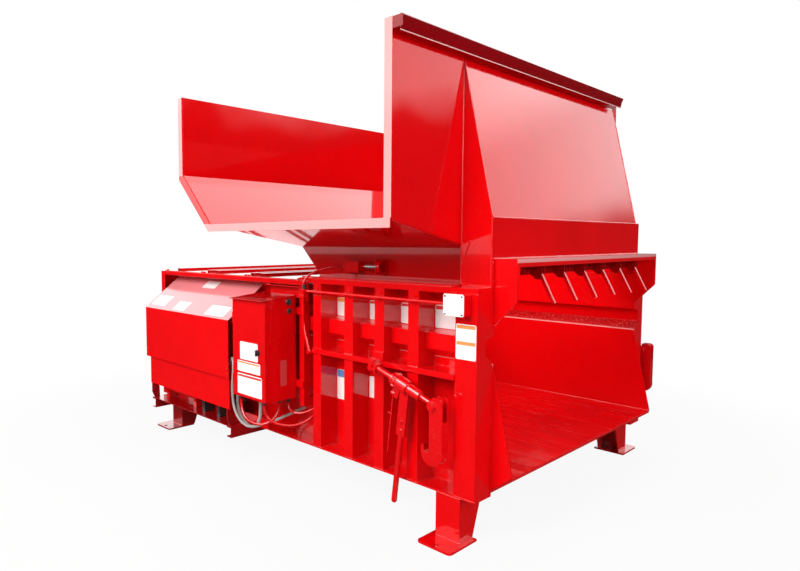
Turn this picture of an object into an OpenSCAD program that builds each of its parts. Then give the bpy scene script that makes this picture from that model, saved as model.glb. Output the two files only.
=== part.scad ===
// Stationary waste compactor: a floor-standing charge box with a hydraulic ram, a side-loading
// hopper on top, a power unit under a hood at the side, and a ratchet turnbuckle with a hook on
// each side that draws a waste container against the discharge end.
// +X is the packing direction, -Y is the operator's side, +Z is up. The origin is on the ground,
// at the centre of the four anchor holes. Inside the modules x is counted from the discharge
// plane (negative to the rear) and z from the underside of the base rails.

/* [Charge box] */
// Inside width of the charge chamber
chamber_w = 1524; // [1460:1:1590]
// Thickness of the chamber's side walls
wall_t = 6; // [5:1:10]
// Thickness of the chamber floor
floor_t = 12; // [8:1:16]
// Height of the floor's top above the base rails
floor_h = 109; // [90:1:150]
// Height of the top rails above the base rails
chamber_h = 902; // [880:1:930]
// Depth of the posts and ribs outside the wall
rib_depth = 119; // [100:1:150]
// Width of a rib
rib_w = 60; // [50:1:80]
// Distance between the three front ribs
rib_pitch = 203; // [180:1:215]
// Centre of the front rib behind the discharge plane
rib_setback = 331; // [280:1:345]
// Centre of the rear rib behind the discharge plane
rear_rib_setback = 969; // [950:1:1000]
// Width of the front post
post_w = 107; // [90:1:125]
// Length of the floor lip in front of the discharge plane
lip_len = 102; // [80:1:125]

/* [Rear housing and feet] */
// Distance between the front and rear anchor holes
anchor_span_x = 2326; // [2300:1:2480]
// Distance between the near and far anchor holes
anchor_span_y = 1932; // [1740:1:2250]
// Distance from the discharge plane back to the front anchor holes
anchor_setback = 133; // [120:1:150]
// Height of the legs
leg_h = 205; // [150:1:300]
// Radius of an anchor hole
anchor_r = 11; // [8:0.5:14]
// Overall length of the frame behind the discharge plane
frame_len = 2629; // [2620:1:2800]
// Length of the hood over the power unit
hood_len = 1004; // [820:1:1010]
// How far the hood stands out past the side wall
hood_out = 282; // [260:1:330]

/* [Ram] */
// Stroke of the ram
ram_stroke = 1210; // [1000:1:1212]
// Height of the ram's top above the base rails
ram_top = 865; // [820:1:868]
// Gap between the ram and the chamber at each side
ram_gap = 6; // [4:1:10]
// Outside diameter of the cylinder barrel
barrel_d = 140; // [120:1:160]
// Diameter of the piston rod
rod_d = 70; // [60:1:80]

/* [Hopper] */
// Thickness of the hopper sheets
sheet_t = 5; // [4:1:6]
// Distance of the hopper's front wall behind the discharge plane
hopper_front = 152; // [140:1:170]
// Distance of the hopper's rear wall behind the discharge plane
hopper_rear = 1682; // [1660:1:1720]
// How far the loading lip stands out from the centre plane
lip_y = 1247; // [1150:1:1300]
// Height of the loading lip above the base rails
lip_z = 1187; // [1160:1:1200]
// Height where the rear wall bends into its slope
bend_z = 1464; // [1440:1:1490]
// Height of the rear wall's top
rear_top_z = 1895; // [1800:1:1960]
// Height of the front wall's top
front_top_z = 1936; // [1850:1:2000]
// Height of the fold under the loading chute
fold_z = 1070; // [1050:1:1090]
// Distance of the throat's near wall from the centre plane
throat_y = 700; // [640:1:720]
// Width of the stiffening flanges round the hopper
rim_w = 38; // [30:1:45]

/* [Retainer fingers] */
// Distance between the fingers
finger_pitch = 208; // [160:1:210]
// Length of a finger from its pin to its tip
finger_len = 162; // [140:1:165]
// Radius of the finger pins
pin_r = 6; // [5:0.5:7]

/* [Turnbuckles] */
// Distance between the two pins of the near turnbuckle
near_reach = 385; // [370:1:440]
// Distance between the two pins of the far turnbuckle
far_reach = 506; // [460:1:506]
// Distance between the turnbuckle's plane and the outer face of the ribs
buckle_out = 53; // [50:1:65]
// Diameter of the screws
screw_d = 27; // [24:1:30]
// Diameter of the sleeve
sleeve_d = 50; // [46:1:60]

/* [Control box] */
// Width of the control box
cbox_w = 292; // [282:1:300]
// Height of the control box
cbox_h = 545; // [450:1:580]
// Depth of the control box
cbox_d = 214; // [208:1:230]

/* [Hidden] */
$fn = 48;

red = [0.80, 0.05, 0.05];
dark_red = [0.62, 0.03, 0.04];
steel = [0.60, 0.60, 0.62];
black = [0.08, 0.08, 0.09];
grey = [0.45, 0.45, 0.47];

face_x = anchor_span_x / 2 + anchor_setback;
half_w = chamber_w / 2;
wall_out = half_w + wall_t;
side_y = wall_out + rib_depth;
rib_xs = [-rib_setback, -rib_setback - rib_pitch, -rib_setback - 2 * rib_pitch, -rear_rib_setback];
plate_t = 8;
rail_t = 8;
top_rail_h = 25;
throat_rear = 1130;
frame_top = chamber_h - 15;
frame_bar = 25;
flange_t = 8;
flange_top = chamber_h + flange_t;
frame_sheet = 5;
cover_t = 3;
cover_count = 3;
mid_rail_z = 508;
mid_rail_h = 26;
base_rail_len = 1390;
top_rail_len = 1046;
leg_w = 125;
leg_top = 170;
leg_foot = 100;
foot_t = 10;
foot_w = 175;
foot_r = 18;
rear_leg_shift = 26;
finger_count = 6;
tray_t = 6;
hood_t = 3;
hood_x0 = -2558;
hood_y = wall_out + hood_out;
hood_in = wall_out + 15;
hood_top = frame_top - 42;
hood_fold = 642;
hood_low = 300;
skirt_y = hood_y - 18;
beam_h = 64;
beam_w = 45;
beam_reach = hood_y - 30;
beam_xs = [-anchor_setback - anchor_span_x + rear_leg_shift - leg_w / 2 - beam_w,
    hood_x0 + hood_len - 66];
cyl_z = 440;
cyl_pin_x = -frame_len + 60;
cyl_pin_r = 25;
fit_gap = 0.06;
seam = 0.4;
slope_a = atan2(bend_z - chamber_h, hopper_rear - throat_rear);
chute_a = atan2(lip_z - fold_z, lip_y - throat_y);
far_wall_y = half_w + 23;
function slope_x(z) = -throat_rear - (z - chamber_h) / tan(slope_a);
function chute_z(y) = fold_z + (y - throat_y) * tan(chute_a);
header_z = chamber_h + 294;
header_low = chamber_h + 83;
panel_top = front_top_z - 63;
panel_far = far_wall_y - 50;
canopy_z = header_low + 29;
canopy_out = 107;
finger_x = 68;
finger_z = canopy_z - 42;
finger_rest = 27;
near_lug_x = -531;
far_lug_x = -505;
near_tilt = 19.2;
far_tilt = 10.2;
lug_pin_r = 9;
hook_pin_r = 10;
hook_t = 46;
hook_drop = 259;
sleeve_x = 150;
wheel_r = 37;
tooth_count = 12;
hand_lean = 6.6;
hand_len = 540;
pawl_drop = 62;
lever_len = 270;
cbox_x1 = -1143;
cbox_x0 = cbox_x1 - cbox_w;
cbox_back = side_y - 3;
door_d = 18;
cbox_front = cbox_back + cbox_d - door_d;
cbox_z0 = 240;
cbox_z1 = cbox_z0 + cbox_h;
hinge_x = cbox_x0 - 6;
hinge_y = -(cbox_front + 12);
latch_x = cbox_x1 - 56;
latch_z = 505;
gland_len = 25;
gland_z = cbox_z0 - gland_len;
knob_y = -cbox_back - 56;
eye_y = -throat_y - sheet_t - 25;
unit_y = side_y + 3;

// Places the modules' own frame (discharge plane, base rails) in the part's frame
module place() {
    translate([face_x, 0, leg_h]) children();
}

// A copy on the near side and its mirror image on the far side
module both_sides() {
    children();
    mirror([0, 1, 0]) children();
}

// A block given by its two corners
module block(lo, hi) {
    translate(lo) cube([hi[0] - lo[0], hi[1] - lo[1], hi[2] - lo[2]]);
}

// An outline in the XZ plane, carried from y = y0 to y = y1
module along_y(y0, y1) {
    translate([0, y1, 0]) rotate([90, 0, 0]) linear_extrude(y1 - y0) children();
}

// An outline in the YZ plane, carried from x = x0 to x = x1
module along_x(x0, x1) {
    translate([x0, 0, 0]) rotate([90, 0, 90]) linear_extrude(x1 - x0) children();
}

module rod_y(x, z, y0, y1, r) {
    translate([x, y1, z]) rotate([90, 0, 0]) cylinder(r = r, h = y1 - y0);
}

module rod_x(y, z, x0, x1, r) {
    translate([x0, y, z]) rotate([0, 90, 0]) cylinder(r = r, h = x1 - x0);
}

// Guide channel: the groove in each side wall that carries the ram's guide bars
guide_out = 62;
guide_low = 575;
guide_low_back = 622;
guide_high_back = 683;
guide_high = 697;

// Groove outline seen along X, for a wall whose inner face is at y = half_w, grown by g
function groove(g) = [
    [half_w - 1, guide_low - g], [half_w, guide_low - g],
    [half_w + guide_out + g, guide_low_back - g], [half_w + guide_out + g, guide_high_back + g],
    [half_w, guide_high + g], [half_w - 1, guide_high + g]];

// A floor beam is a formed channel, open towards the rear
module floor_beam() {
    difference() {
        block([0, -half_w, 0], [60, half_w, floor_h - floor_t]);
        block([-1, -half_w - 1, 6], [54, half_w + 1, floor_h - floor_t - 6]);
    }
}

module floor_plate() {
    color(red) place() {
        block([-frame_len + plate_t, -half_w, floor_h - floor_t], [lip_len, half_w, floor_h]);
        for (x = [-80, -560, -1040, -1520, -2000, -2480]) translate([x, 0, 0]) floor_beam();
    }
}

// One length of side wall: a sheet with the guide channel pressed out of it
module wall_length(x0, x1, z1) {
    along_x(x0, x1) mirror([1, 0]) difference() {
        union() {
            translate([half_w, 0]) square([wall_t, z1]);
            polygon(groove(wall_t));
        }
        translate([half_w - 2, -1]) square([2, z1 + 2]);
        polygon(groove(0));
    }
}

module side_walls() {
    color(red) place() both_sides() {
        wall_length(-top_rail_len, 0, chamber_h - top_rail_h);
        wall_length(-frame_len + plate_t, -top_rail_len, frame_top - frame_sheet);
    }
}

// A formed channel standing on edge: web outside, flanges welded to the wall
module upright(x0, x1, t, z0, z1) {
    difference() {
        block([x0, -side_y, z0], [x1, -wall_out, z1]);
        block([x0 + t, -side_y + t, z0 - 1], [x1 - t, -wall_out + 1, z1 + 1]);
        along_x(x0 - 1, x1 + 1) mirror([1, 0]) polygon(groove(wall_t));
    }
}

module ribs() {
    color(red) place() both_sides()
        for (x = rib_xs) upright(x - rib_w / 2, x + rib_w / 2, 5, rail_t, chamber_h - top_rail_h);
}

module posts() {
    color(red) place() both_sides()
        upright(-post_w, 0, 8, rail_t, chamber_h - top_rail_h);
}

// Mid rail: an angle whose flat leg is notched round the ribs
module mid_rail() {
    x0 = -rear_rib_setback - rib_w / 2;
    x1 = -post_w;
    block([x0, -side_y - rail_t, mid_rail_z], [x1, -side_y, mid_rail_z + mid_rail_h]);
    difference() {
        block([x0, -side_y, mid_rail_z + mid_rail_h - rail_t],
            [x1, -wall_out, mid_rail_z + mid_rail_h]);
        for (x = rib_xs)
            block([x - rib_w / 2, -side_y, mid_rail_z - 1],
                [x + rib_w / 2, -wall_out + 1, mid_rail_z + mid_rail_h + 1]);
    }
}

module side_rails() {
    color(red) place() both_sides() {
        block([-base_rail_len, -side_y, 0], [0, -wall_out, rail_t]);
        block([-top_rail_len, -side_y, chamber_h - top_rail_h], [0, -half_w, chamber_h]);
        mid_rail();
    }
}

// Cross channel of the power unit frame, open towards the rear
module cross_channel() {
    difference() {
        block([0, -beam_reach, -beam_h], [beam_w, side_y, 0]);
        block([-1, -beam_reach - 1, -beam_h + 6], [beam_w - 6, side_y + 1, -6]);
    }
}

// Upright bracket that carries the hood and the skirt
module hood_upright() {
    along_x(10, 22) mirror([1, 0]) polygon([
        [beam_reach - 45, tray_t], [beam_reach - 8, tray_t], [skirt_y - hood_t, 45],
        [skirt_y - hood_t, hood_low + 5], [hood_y - hood_t, hood_low + 15],
        [hood_y - hood_t, hood_low + 70], [hood_y - 62, hood_low + 70]]);
}

module power_unit_frame() {
    color(dark_red) place() {
        for (x = beam_xs) translate([x, 0, 0]) {
            cross_channel();
            hood_upright();
        }
        block([beam_xs[0], -beam_reach, 0], [beam_xs[1] + beam_w, -side_y, tray_t]);
    }
}

// Legs: a tapered channel welded to an anchor plate with one hole
module leg_channel() {
    difference() {
        along_x(-leg_w / 2, leg_w / 2) mirror([1, 0]) polygon([
            [side_y, 0], [side_y, -leg_h + foot_t], [side_y - leg_foot, -leg_h + foot_t],
            [side_y - leg_top, 0]]);
        along_x(-leg_w / 2 + 8, leg_w / 2 - 8) mirror([1, 0]) polygon([
            [side_y - 8, 1], [side_y - 8, -leg_h + foot_t - 1],
            [side_y - leg_foot - 20, -leg_h + foot_t - 1], [side_y - leg_top - 20, 1]]);
    }
}

module anchor_plate() {
    y_out = anchor_span_y / 2 + 24;
    y_in = side_y - leg_foot + 5;
    translate([0, 0, -leg_h]) linear_extrude(foot_t) difference() {
        union() {
            translate([-foot_w / 2, -y_out + foot_r]) square([foot_w, y_out - foot_r - y_in]);
            translate([-foot_w / 2 + foot_r, -y_out]) square([foot_w - 2 * foot_r, foot_r + 1]);
            for (s = [-1, 1])
                translate([s * (foot_w / 2 - foot_r), -y_out + foot_r]) circle(foot_r);
        }
        translate([0, -anchor_span_y / 2]) circle(anchor_r);
    }
}

module legs() {
    color(red) place() both_sides() {
        translate([-anchor_setback, 0, 0]) {
            leg_channel();
            anchor_plate();
        }
        translate([-anchor_setback - anchor_span_x, 0, 0]) {
            translate([rear_leg_shift, 0, 0]) leg_channel();
            anchor_plate();
        }
    }
}

// One side of the rear frame: corner post, sill, top angle and the rail that the hood lies on
module rear_side() {
    x_rear = -frame_len;
    difference() {
        block([x_rear, -side_y, 0], [x_rear + 45, -side_y + 45, frame_top - frame_sheet]);
        block([x_rear + 6, -side_y + 6, -1], [x_rear + 46, -side_y + 46, frame_top]);
    }
    block([x_rear + 45, -side_y, 0], [-base_rail_len, -side_y + 6, 60]);
    block([x_rear + 6, -side_y + 6, 0], [-base_rail_len, -wall_out, 6]);
    block([x_rear, -side_y, frame_top - frame_sheet], [-top_rail_len, -half_w, frame_top]);
    block([x_rear + 45, -side_y, frame_top - frame_bar],
        [-top_rail_len, -side_y + frame_sheet, frame_top - frame_sheet]);
    block([-throat_rear, -side_y + 20, frame_top], [-top_rail_len, -wall_out, chamber_h]);
}

module rear_frame() {
    color(red) place() {
        both_sides() rear_side();
        block([hood_x0, -wall_out - 14, hood_top - 36], [hood_x0 + hood_len, -wall_out, hood_top - 3]);
        block([-frame_len, -side_y + 45, 0], [-frame_len + plate_t, side_y - 45, frame_top]);
        block([-frame_len + plate_t, -half_w, frame_top - frame_bar],
            [-frame_len + 60, half_w, frame_top]);
        for (s = [-1, 1]) difference() {
            along_y(s * 46 - 12, s * 46 + 12) polygon([
                [-frame_len + plate_t, cyl_z - 90], [cyl_pin_x, cyl_z - 36], [cyl_pin_x + 36, cyl_z],
                [cyl_pin_x, cyl_z + 36], [-frame_len + plate_t, cyl_z + 90]]);
            rod_y(cyl_pin_x, cyl_z, s * 46 - 13, s * 46 + 13, cyl_pin_r + fit_gap);
        }
        block([-throat_rear - 10, -half_w, ram_top + 8], [-throat_rear, half_w, chamber_h]);
        block([-throat_rear - 50, -half_w, frame_top - 10], [-throat_rear - 10, half_w, frame_top]);
    }
}

// Top covers: three sheets with raised cross ribs, bolted over the ram housing
module top_cover(x0, x1) {
    w = side_y - 24;
    block([x0, -w, frame_top], [x1, w, frame_top + cover_t]);
    for (x = [x0 + 26, x1 - 66]) difference() {
        block([x, -w + 90, frame_top + cover_t], [x + 40, w - 90, frame_top + cover_t + 12]);
        block([x + 3, -w + 89, frame_top + cover_t - 1], [x + 37, w - 89, frame_top + cover_t + 9]);
    }
    for (x = [x0 + 14, x1 - 14], y = [-w + 16, 0, w - 16])
        translate([x, y, frame_top + cover_t]) cylinder(r = 9, h = 7, $fn = 6);
}

module top_covers() {
    x_first = -frame_len + 6;
    step = (-throat_rear - 14 - x_first) / cover_count;
    color(red) place() for (i = [0:cover_count - 1])
        top_cover(x_first + i * step + 2, x_first + (i + 1) * step - 2);
}

// Hopper rear sheet: an upright wall folded into a slope that lands on the bulkhead
module hopper_rear() {
    rear_out = -hopper_rear - sheet_t;
    color(red) place() intersection() {
        along_y(-lip_y, far_wall_y) polygon([
            [-hopper_rear, rear_top_z], [-hopper_rear, bend_z], [-throat_rear, chamber_h],
            [-throat_rear - sheet_t / sin(slope_a), chamber_h],
            [rear_out, bend_z - sheet_t * (1 - sin(slope_a)) / cos(slope_a)], [rear_out, rear_top_z]]);
        along_x(rear_out - 1, -throat_rear + 1) mirror([1, 0]) polygon([
            [lip_y, rear_top_z + 1], [lip_y, lip_z], [throat_y, fold_z], [throat_y, chamber_h],
            [-far_wall_y, chamber_h], [-far_wall_y, rear_top_z + 1]]);
    }
}

// Hopper chute: the loading slope and the throat's near wall, folded from one sheet
module hopper_chute() {
    x_front = -hopper_front - sheet_t;
    top_cut = sheet_t / cos(chute_a);
    color(red) place() {
        difference() {
            along_x(-hopper_rear, x_front) mirror([1, 0]) polygon([
                [lip_y, lip_z], [throat_y, fold_z], [throat_y, chamber_h],
                [throat_y + sheet_t, chamber_h], [throat_y + sheet_t, chute_z(throat_y + sheet_t) - top_cut],
                [lip_y, lip_z - top_cut]]);
            along_y(-lip_y - 1, -throat_y + 1) polygon([
                [-hopper_rear - 1, chamber_h - 1], [slope_x(chamber_h - 1) + seam, chamber_h - 1],
                [slope_x(lip_z + 9) + seam, lip_z + 9], [-hopper_rear - 1, lip_z + 9]]);
        }
        block([-throat_rear + seam, -side_y + 37, chamber_h], [x_front, -throat_y - sheet_t, flange_top]);
    }
}

module hopper_front() {
    color(red) place() along_x(-hopper_front - sheet_t, -hopper_front) mirror([1, 0]) polygon([
        [lip_y, chute_z(lip_y) - sheet_t], [lip_y, front_top_z], [-far_wall_y, front_top_z],
        [-far_wall_y, chamber_h], [-far_wall_y + 12, chamber_h], [-far_wall_y + 12, header_low],
        [throat_y, header_low], [throat_y, chamber_h], [far_wall_y - 6, chamber_h],
        [far_wall_y - 6, chute_z(far_wall_y) - sheet_t]]);
}

module hopper_far_wall() {
    color(red) place() {
        along_y(far_wall_y, far_wall_y + sheet_t) polygon([
            [-hopper_rear - sheet_t, rear_top_z], [-hopper_rear - sheet_t, bend_z],
            [-throat_rear - 2 * sheet_t, chamber_h], [-hopper_front, chamber_h],
            [-hopper_front, front_top_z]]);
        along_y(far_wall_y + sheet_t, far_wall_y + 65 + sheet_t) polygon([
            [-hopper_rear - sheet_t, rear_top_z - 6], [-hopper_rear - sheet_t, rear_top_z],
            [-hopper_front, front_top_z], [-hopper_front, front_top_z - 6]]);
        block([-throat_rear, far_wall_y + sheet_t, chamber_h],
            [-hopper_front, far_wall_y + 60, flange_top]);
    }
}

// Hopper rims: flat bars and an angle welded along the free edges
module hopper_rims() {
    x_rear = -hopper_rear - sheet_t;
    x_front = -hopper_front - sheet_t;
    lip_low = lip_z - rim_w;
    foot = slope_x(lip_z) - sheet_t / sin(slope_a);
    color(red) place() {
        block([x_rear - rim_w, -lip_y, rear_top_z - 6], [x_rear, far_wall_y, rear_top_z]);
        along_y(-lip_y - 6, -lip_y) polygon([
            [x_rear - rim_w, rear_top_z], [x_rear, rear_top_z], [x_rear, bend_z],
            [foot, lip_z], [slope_x(lip_z), lip_z], [x_front, lip_z], [x_front, lip_low],
            [foot - 14, lip_low], [x_rear - rim_w, bend_z - 22]]);
        block([x_front - rim_w + sheet_t, -lip_y - 6, lip_z], [-hopper_front, -lip_y, front_top_z]);
        difference() {
            block([-hopper_front, -lip_y, front_top_z - 47],
                [-hopper_front + rim_w, far_wall_y - 22, front_top_z]);
            block([-hopper_front - 1, -lip_y - 1, front_top_z - 48],
                [-hopper_front + rim_w - 6, far_wall_y - 21, front_top_z - 24]);
        }
    }
}

// Front panel: the sloping sheet above the charge box, its gussets and the upright header
module front_panel() {
    a = atan2(hopper_front, panel_top - header_z);
    inner_top = panel_top - sheet_t / sin(a);
    color(red) place() {
        along_y(-far_wall_y, panel_far) polygon([
            [-hopper_front, panel_top], [0, header_z], [-sheet_t, header_z],
            [-hopper_front, inner_top + 2]]);
        for (y = [-far_wall_y, panel_far - sheet_t]) along_y(y, y + sheet_t) polygon([
            [-hopper_front, panel_top - 4], [-hopper_front, header_z], [0, header_z]]);
        block([-hopper_front, panel_far - sheet_t, header_z - sheet_t], [0, far_wall_y, header_z]);
        block([-6, -far_wall_y, header_low], [0, far_wall_y, header_z]);
        block([-hopper_front, -far_wall_y + 6, header_low], [-6, far_wall_y - 6, header_low + 6]);
        both_sides() block([-hopper_front, -far_wall_y, chamber_h], [-6, -far_wall_y + 6, header_z]);
        both_sides() block([-6, -far_wall_y, chamber_h], [0, -far_wall_y + 6, header_low]);
    }
}

// Canopy over the retainer fingers, with a turned-down lip and a cheek at each end
module canopy() {
    lip_x = canopy_out;
    y = wall_out;
    color(red) place() {
        block([0, -y, canopy_z], [lip_x, y, canopy_z + 10]);
        block([lip_x - 6, -y + 8, canopy_z - 24], [lip_x, y - 8, canopy_z]);
        both_sides() along_y(-y, -y + 8) polygon([
            [0, canopy_z], [lip_x, canopy_z], [lip_x, canopy_z - 167], [0, canopy_z - 279]]);
    }
}

finger_span = (finger_count - 1) * finger_pitch;
module finger_place(i) {
    place() translate([finger_x, -finger_span / 2 + i * finger_pitch, finger_z]) children();
}

// Finger brackets: a hanger bar with a pair of ears, a pin and a stop peg for each finger
module finger_brackets() {
    color(dark_red) {
        place() block([30, -finger_span / 2 - 90, canopy_z - 64], [38, finger_span / 2 + 90, canopy_z]);
        for (i = [0:finger_count - 1]) finger_place(i) {
            for (y = [-14, 8]) along_y(y, y + 6) polygon([
                [38 - finger_x, canopy_z - finger_z], [22, canopy_z - finger_z], [22, -8],
                [14, -42], [-6, -42], [38 - finger_x, -22]]);
            rod_y(0, 0, -19, 19, pin_r);
            rod_y(2.5, -32.5, -14, 44, 5);
            for (y = [-75, -45]) rod_x(y, -4, 38 - finger_x, 46 - finger_x, 8);
        }
    }
}

// Retainer finger: a flat bar hung from an eye, resting ahead of the vertical on its stop peg
module finger(i) {
    color(red) finger_place(i) rotate([0, -finger_rest, 0]) difference() {
        union() {
            rod_y(0, 0, -7, 7, 13);
            block([-7, -7, -finger_len], [7, 7, 0]);
        }
        rod_y(0, 0, -8, 8, pin_r + fit_gap);
    }
}

module guide_wings() {
    color(red) place() both_sides() along_y(-wall_out, -half_w) polygon([
        [0, guide_low - 5], [0, 28], [lip_len, floor_h]]);
}

// Hood: one folded sheet over the power unit, with a plain skirt sheet below it
module hood() {
    a = atan2(hood_top - hood_fold, hood_y - hood_in);
    drop = hood_t / cos(a);
    inner_fold = hood_fold + hood_t * tan(a) - drop;
    skirt_low = 110;
    color(red) place() {
        along_x(hood_x0, hood_x0 + hood_len) mirror([1, 0]) polygon([
            [hood_in, hood_top], [hood_y, hood_fold], [hood_y, hood_low], [hood_y - hood_t, hood_low],
            [hood_y - hood_t, inner_fold], [hood_in, hood_top - drop]]);
        for (x = [hood_x0 + 18, hood_x0 + hood_len - 16], z = [22, 52])
            rod_y(x, hood_low + z, -hood_y - 4, -hood_y, 6);
        block([hood_x0 + 23, -skirt_y, skirt_low],
            [hood_x0 + hood_len - 18, -skirt_y + hood_t, hood_low + 2]);
    }
}

// Control box: a sheet steel case with a sloped drip roof and the fixed hinge knuckles
module control_box() {
    color(dark_red) place() {
        difference() {
            along_x(cbox_x0, cbox_x1) mirror([1, 0]) polygon([
                [cbox_back, cbox_z0], [cbox_front, cbox_z0], [cbox_front, cbox_z1],
                [cbox_back, cbox_z1 + 18]]);
            block([cbox_x0 + 3, -cbox_front - 1, cbox_z0 + 3],
                [cbox_x1 - 3, -cbox_back - 3, cbox_z1 - 3]);
        }
        along_x(cbox_x0 - 3, cbox_x1 + 3) mirror([1, 0]) polygon([
            [cbox_back, cbox_z1 + 18], [cbox_front, cbox_z1], [cbox_front + 40, cbox_z1 - 3],
            [cbox_front + 40, cbox_z1], [cbox_front, cbox_z1 + 3], [cbox_back, cbox_z1 + 21]]);
        for (z = [cbox_z0 + 60, cbox_z1 - 140]) for (k = [0, 40]) {
            translate([hinge_x, hinge_y, z + k]) cylinder(r = 5, h = 20);
            block([hinge_x - 2, hinge_y, z + k], [hinge_x + 2, -cbox_front + 16, z + k + 20]);
            block([hinge_x - 2, -cbox_front + 6, z + k], [cbox_x0, -cbox_front + 16, z + k + 20]);
        }
        for (z = [cbox_z0 + 60, cbox_z1 - 140])
            translate([hinge_x, hinge_y, z]) cylinder(r = 2.5, h = 60);
        rod_x(knob_y, cbox_z1 - 14, cbox_x1, cbox_x1 + 5, 16);
        rod_x(knob_y, cbox_z1 - 62, cbox_x1, cbox_x1 + 14, 13);
    }
}

// Control box door: a pan with its hinge knuckles
module control_door() {
    y0 = -cbox_front - door_d;
    y1 = -cbox_front - 0.5;
    color(red) place() {
        difference() {
            block([cbox_x0, y0, cbox_z0 + 2], [cbox_x1, y1, cbox_z1 - 5]);
            block([cbox_x0 + 3, y0 + 3, cbox_z0 + 5], [cbox_x1 - 3, y1 + 1, cbox_z1 - 8]);
            rod_y(latch_x, latch_z, y0 - 1, y0 + 4, 6 + fit_gap);
        }
        for (z = [cbox_z0 + 60, cbox_z1 - 140]) difference() {
            union() {
                translate([hinge_x, hinge_y, z + 20.5]) cylinder(r = 5, h = 19);
                block([hinge_x, hinge_y - 2, z + 20.5], [cbox_x0, hinge_y + 2, z + 39.5]);
            }
            translate([hinge_x, hinge_y, z]) cylinder(r = 2.5 + fit_gap, h = 60);
        }
    }
}

// Quarter-turn latch: a wing grip outside, a shaft and a cam inside the door pan
module door_latch() {
    y0 = -cbox_front - door_d;
    color(black) place() {
        rod_y(latch_x, latch_z, y0 - 5.5, y0 - 0.5, 13);
        rod_y(latch_x, latch_z, y0 - 12, y0 + 12, 6);
        block([latch_x - 4, y0 - 22, latch_z - 16], [latch_x + 4, y0 - 5.5, latch_z + 16]);
        block([latch_x - 7, y0 + 6, latch_z - 7], [latch_x + 18, y0 + 10, latch_z + 7]);
    }
}

module selector_knob() {
    color(black) place() {
        rod_x(knob_y, cbox_z1 - 14, cbox_x1 + 5.5, cbox_x1 + 14, 14);
        block([cbox_x1 + 14, knob_y - 4, cbox_z1 - 30], [cbox_x1 + 24, knob_y + 4, cbox_z1 + 2]);
    }
}

// Two upright tubes and a channel across their tops carry the control box on cross straps
bracket_xs = [cbox_x0 + 15, cbox_x1 + 18];
module box_bracket() {
    x1 = bracket_xs[1] + 38;
    channel = [frame_top - 97, frame_top - 35];
    color(red) place() {
        for (x = bracket_xs) {
            difference() {
                block([x, -cbox_back + 10, 196], [x + 38, -cbox_back + 50, channel[0]]);
                block([x + 4, -cbox_back + 14, 195], [x + 34, -cbox_back + 46, channel[0] + 1]);
            }
            block([x, -cbox_back + 50, 200], [x + 38, -wall_out, 240]);
            block([x, -cbox_back + 10, channel[1]], [x + 38, -cbox_back + 45, frame_top - frame_sheet]);
        }
        difference() {
            block([bracket_xs[0], -cbox_back + 2, channel[0]], [x1, -cbox_back + 47, channel[1]]);
            block([bracket_xs[0] - 1, -cbox_back + 1, channel[0] + 5],
                [x1 + 1, -cbox_back + 42, channel[1] - 5]);
        }
        for (z = [300, 700]) block([bracket_xs[0], -cbox_back, z], [x1, -cbox_back + 10, z + 40]);
    }
}

// Cable gland: hex nut and round body, pointing down from the origin
module gland() {
    translate([0, 0, -9]) cylinder(r = 12, h = 9, $fn = 6);
    translate([0, 0, -gland_len]) cylinder(r = 9.5, h = gland_len - 9);
}

module cable_glands() {
    color(black) place() {
        for (p = [[-1410, 175], [-1200, 173], [-1190, 78], [-1168, 33], [-1314, 113]])
            translate([p[0], -side_y - p[1], cbox_z0]) gland();
        for (z = [175, 212]) translate([-1030, -wall_out, z]) rotate([-90, 0, 0]) gland();
        translate([-1052, -side_y - 17, chamber_h - 57]) rotate([180, 0, 0]) gland();
        translate([-895, eye_y, chamber_h + 62]) rotate([0, 90, 0]) gland();
        translate([-1690, -side_y - 58, 300]) rotate([0, -90, 0]) gland();
    }
}

// Contactor plate: the equipment inside the control box, on a bare mounting plate
module contactor_plate() {
    y = -cbox_back - 3;
    color(grey) place() {
        block([cbox_x0 + 25, y - 3, cbox_z0 + 40], [cbox_x1 - 25, y, cbox_z1 - 60]);
        for (i = [0:2])
            block([cbox_x0 + 50 + i * 65, y - 75, cbox_z0 + 300],
                [cbox_x0 + 105 + i * 65, y - 3, cbox_z0 + 380]);
        block([cbox_x0 + 50, y - 95, cbox_z0 + 150], [cbox_x0 + 235, y - 3, cbox_z0 + 230]);
        for (i = [0:9])
            block([cbox_x0 + 52 + i * 18, y - 40, cbox_z0 + 70],
                [cbox_x0 + 66 + i * 18, y - 3, cbox_z0 + 110]);
    }
}

// Photo-eye on the throat wall: junction box, nipple, sensor and guard ring
module photo_eye() {
    w = -throat_y - sheet_t;
    z = chamber_h + 64;
    color(red) place() {
        block([-895, w - 50, z - 26], [-800, w, z + 22]);
        block([-899, w - 54, z - 30], [-796, w - 50, z + 26]);
    }
    color(grey) place() {
        rod_x(eye_y, z, -800, -765, 8);
        rod_x(eye_y, z, -765, -752, 15);
        rod_x(eye_y, z, -752, -690, 20);
        rod_x(eye_y, z, -690, -672, 24);
    }
    color(red) place() {
        block([-672, w - 62, z - 36], [-666, w, z + 40]);
        difference() {
            rod_x(w - 36, z + 2, -666, -640, 34);
            rod_x(w - 36, z + 2, -667, -639, 28);
        }
    }
}

// Station box on the post: a small case with a lid and four screws
module station_box() {
    z = chamber_h - 68;
    color(red) place() {
        block([-129, -side_y - 46, z - 44], [-32, -side_y, z + 44]);
        block([-132, -side_y - 53, z - 47], [-29, -side_y - 46, z + 47]);
        for (x = [-122, -39], k = [-37, 37]) rod_y(x, z + k, -side_y - 56, -side_y - 53, 4);
    }
}

// A quarter bend of conduit, from +X round to +Z, about the origin
module bend(r, tube_r, angle) {
    rotate([90, 0, 0]) rotate_extrude(angle = angle) translate([r, 0]) circle(tube_r);
}

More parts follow.
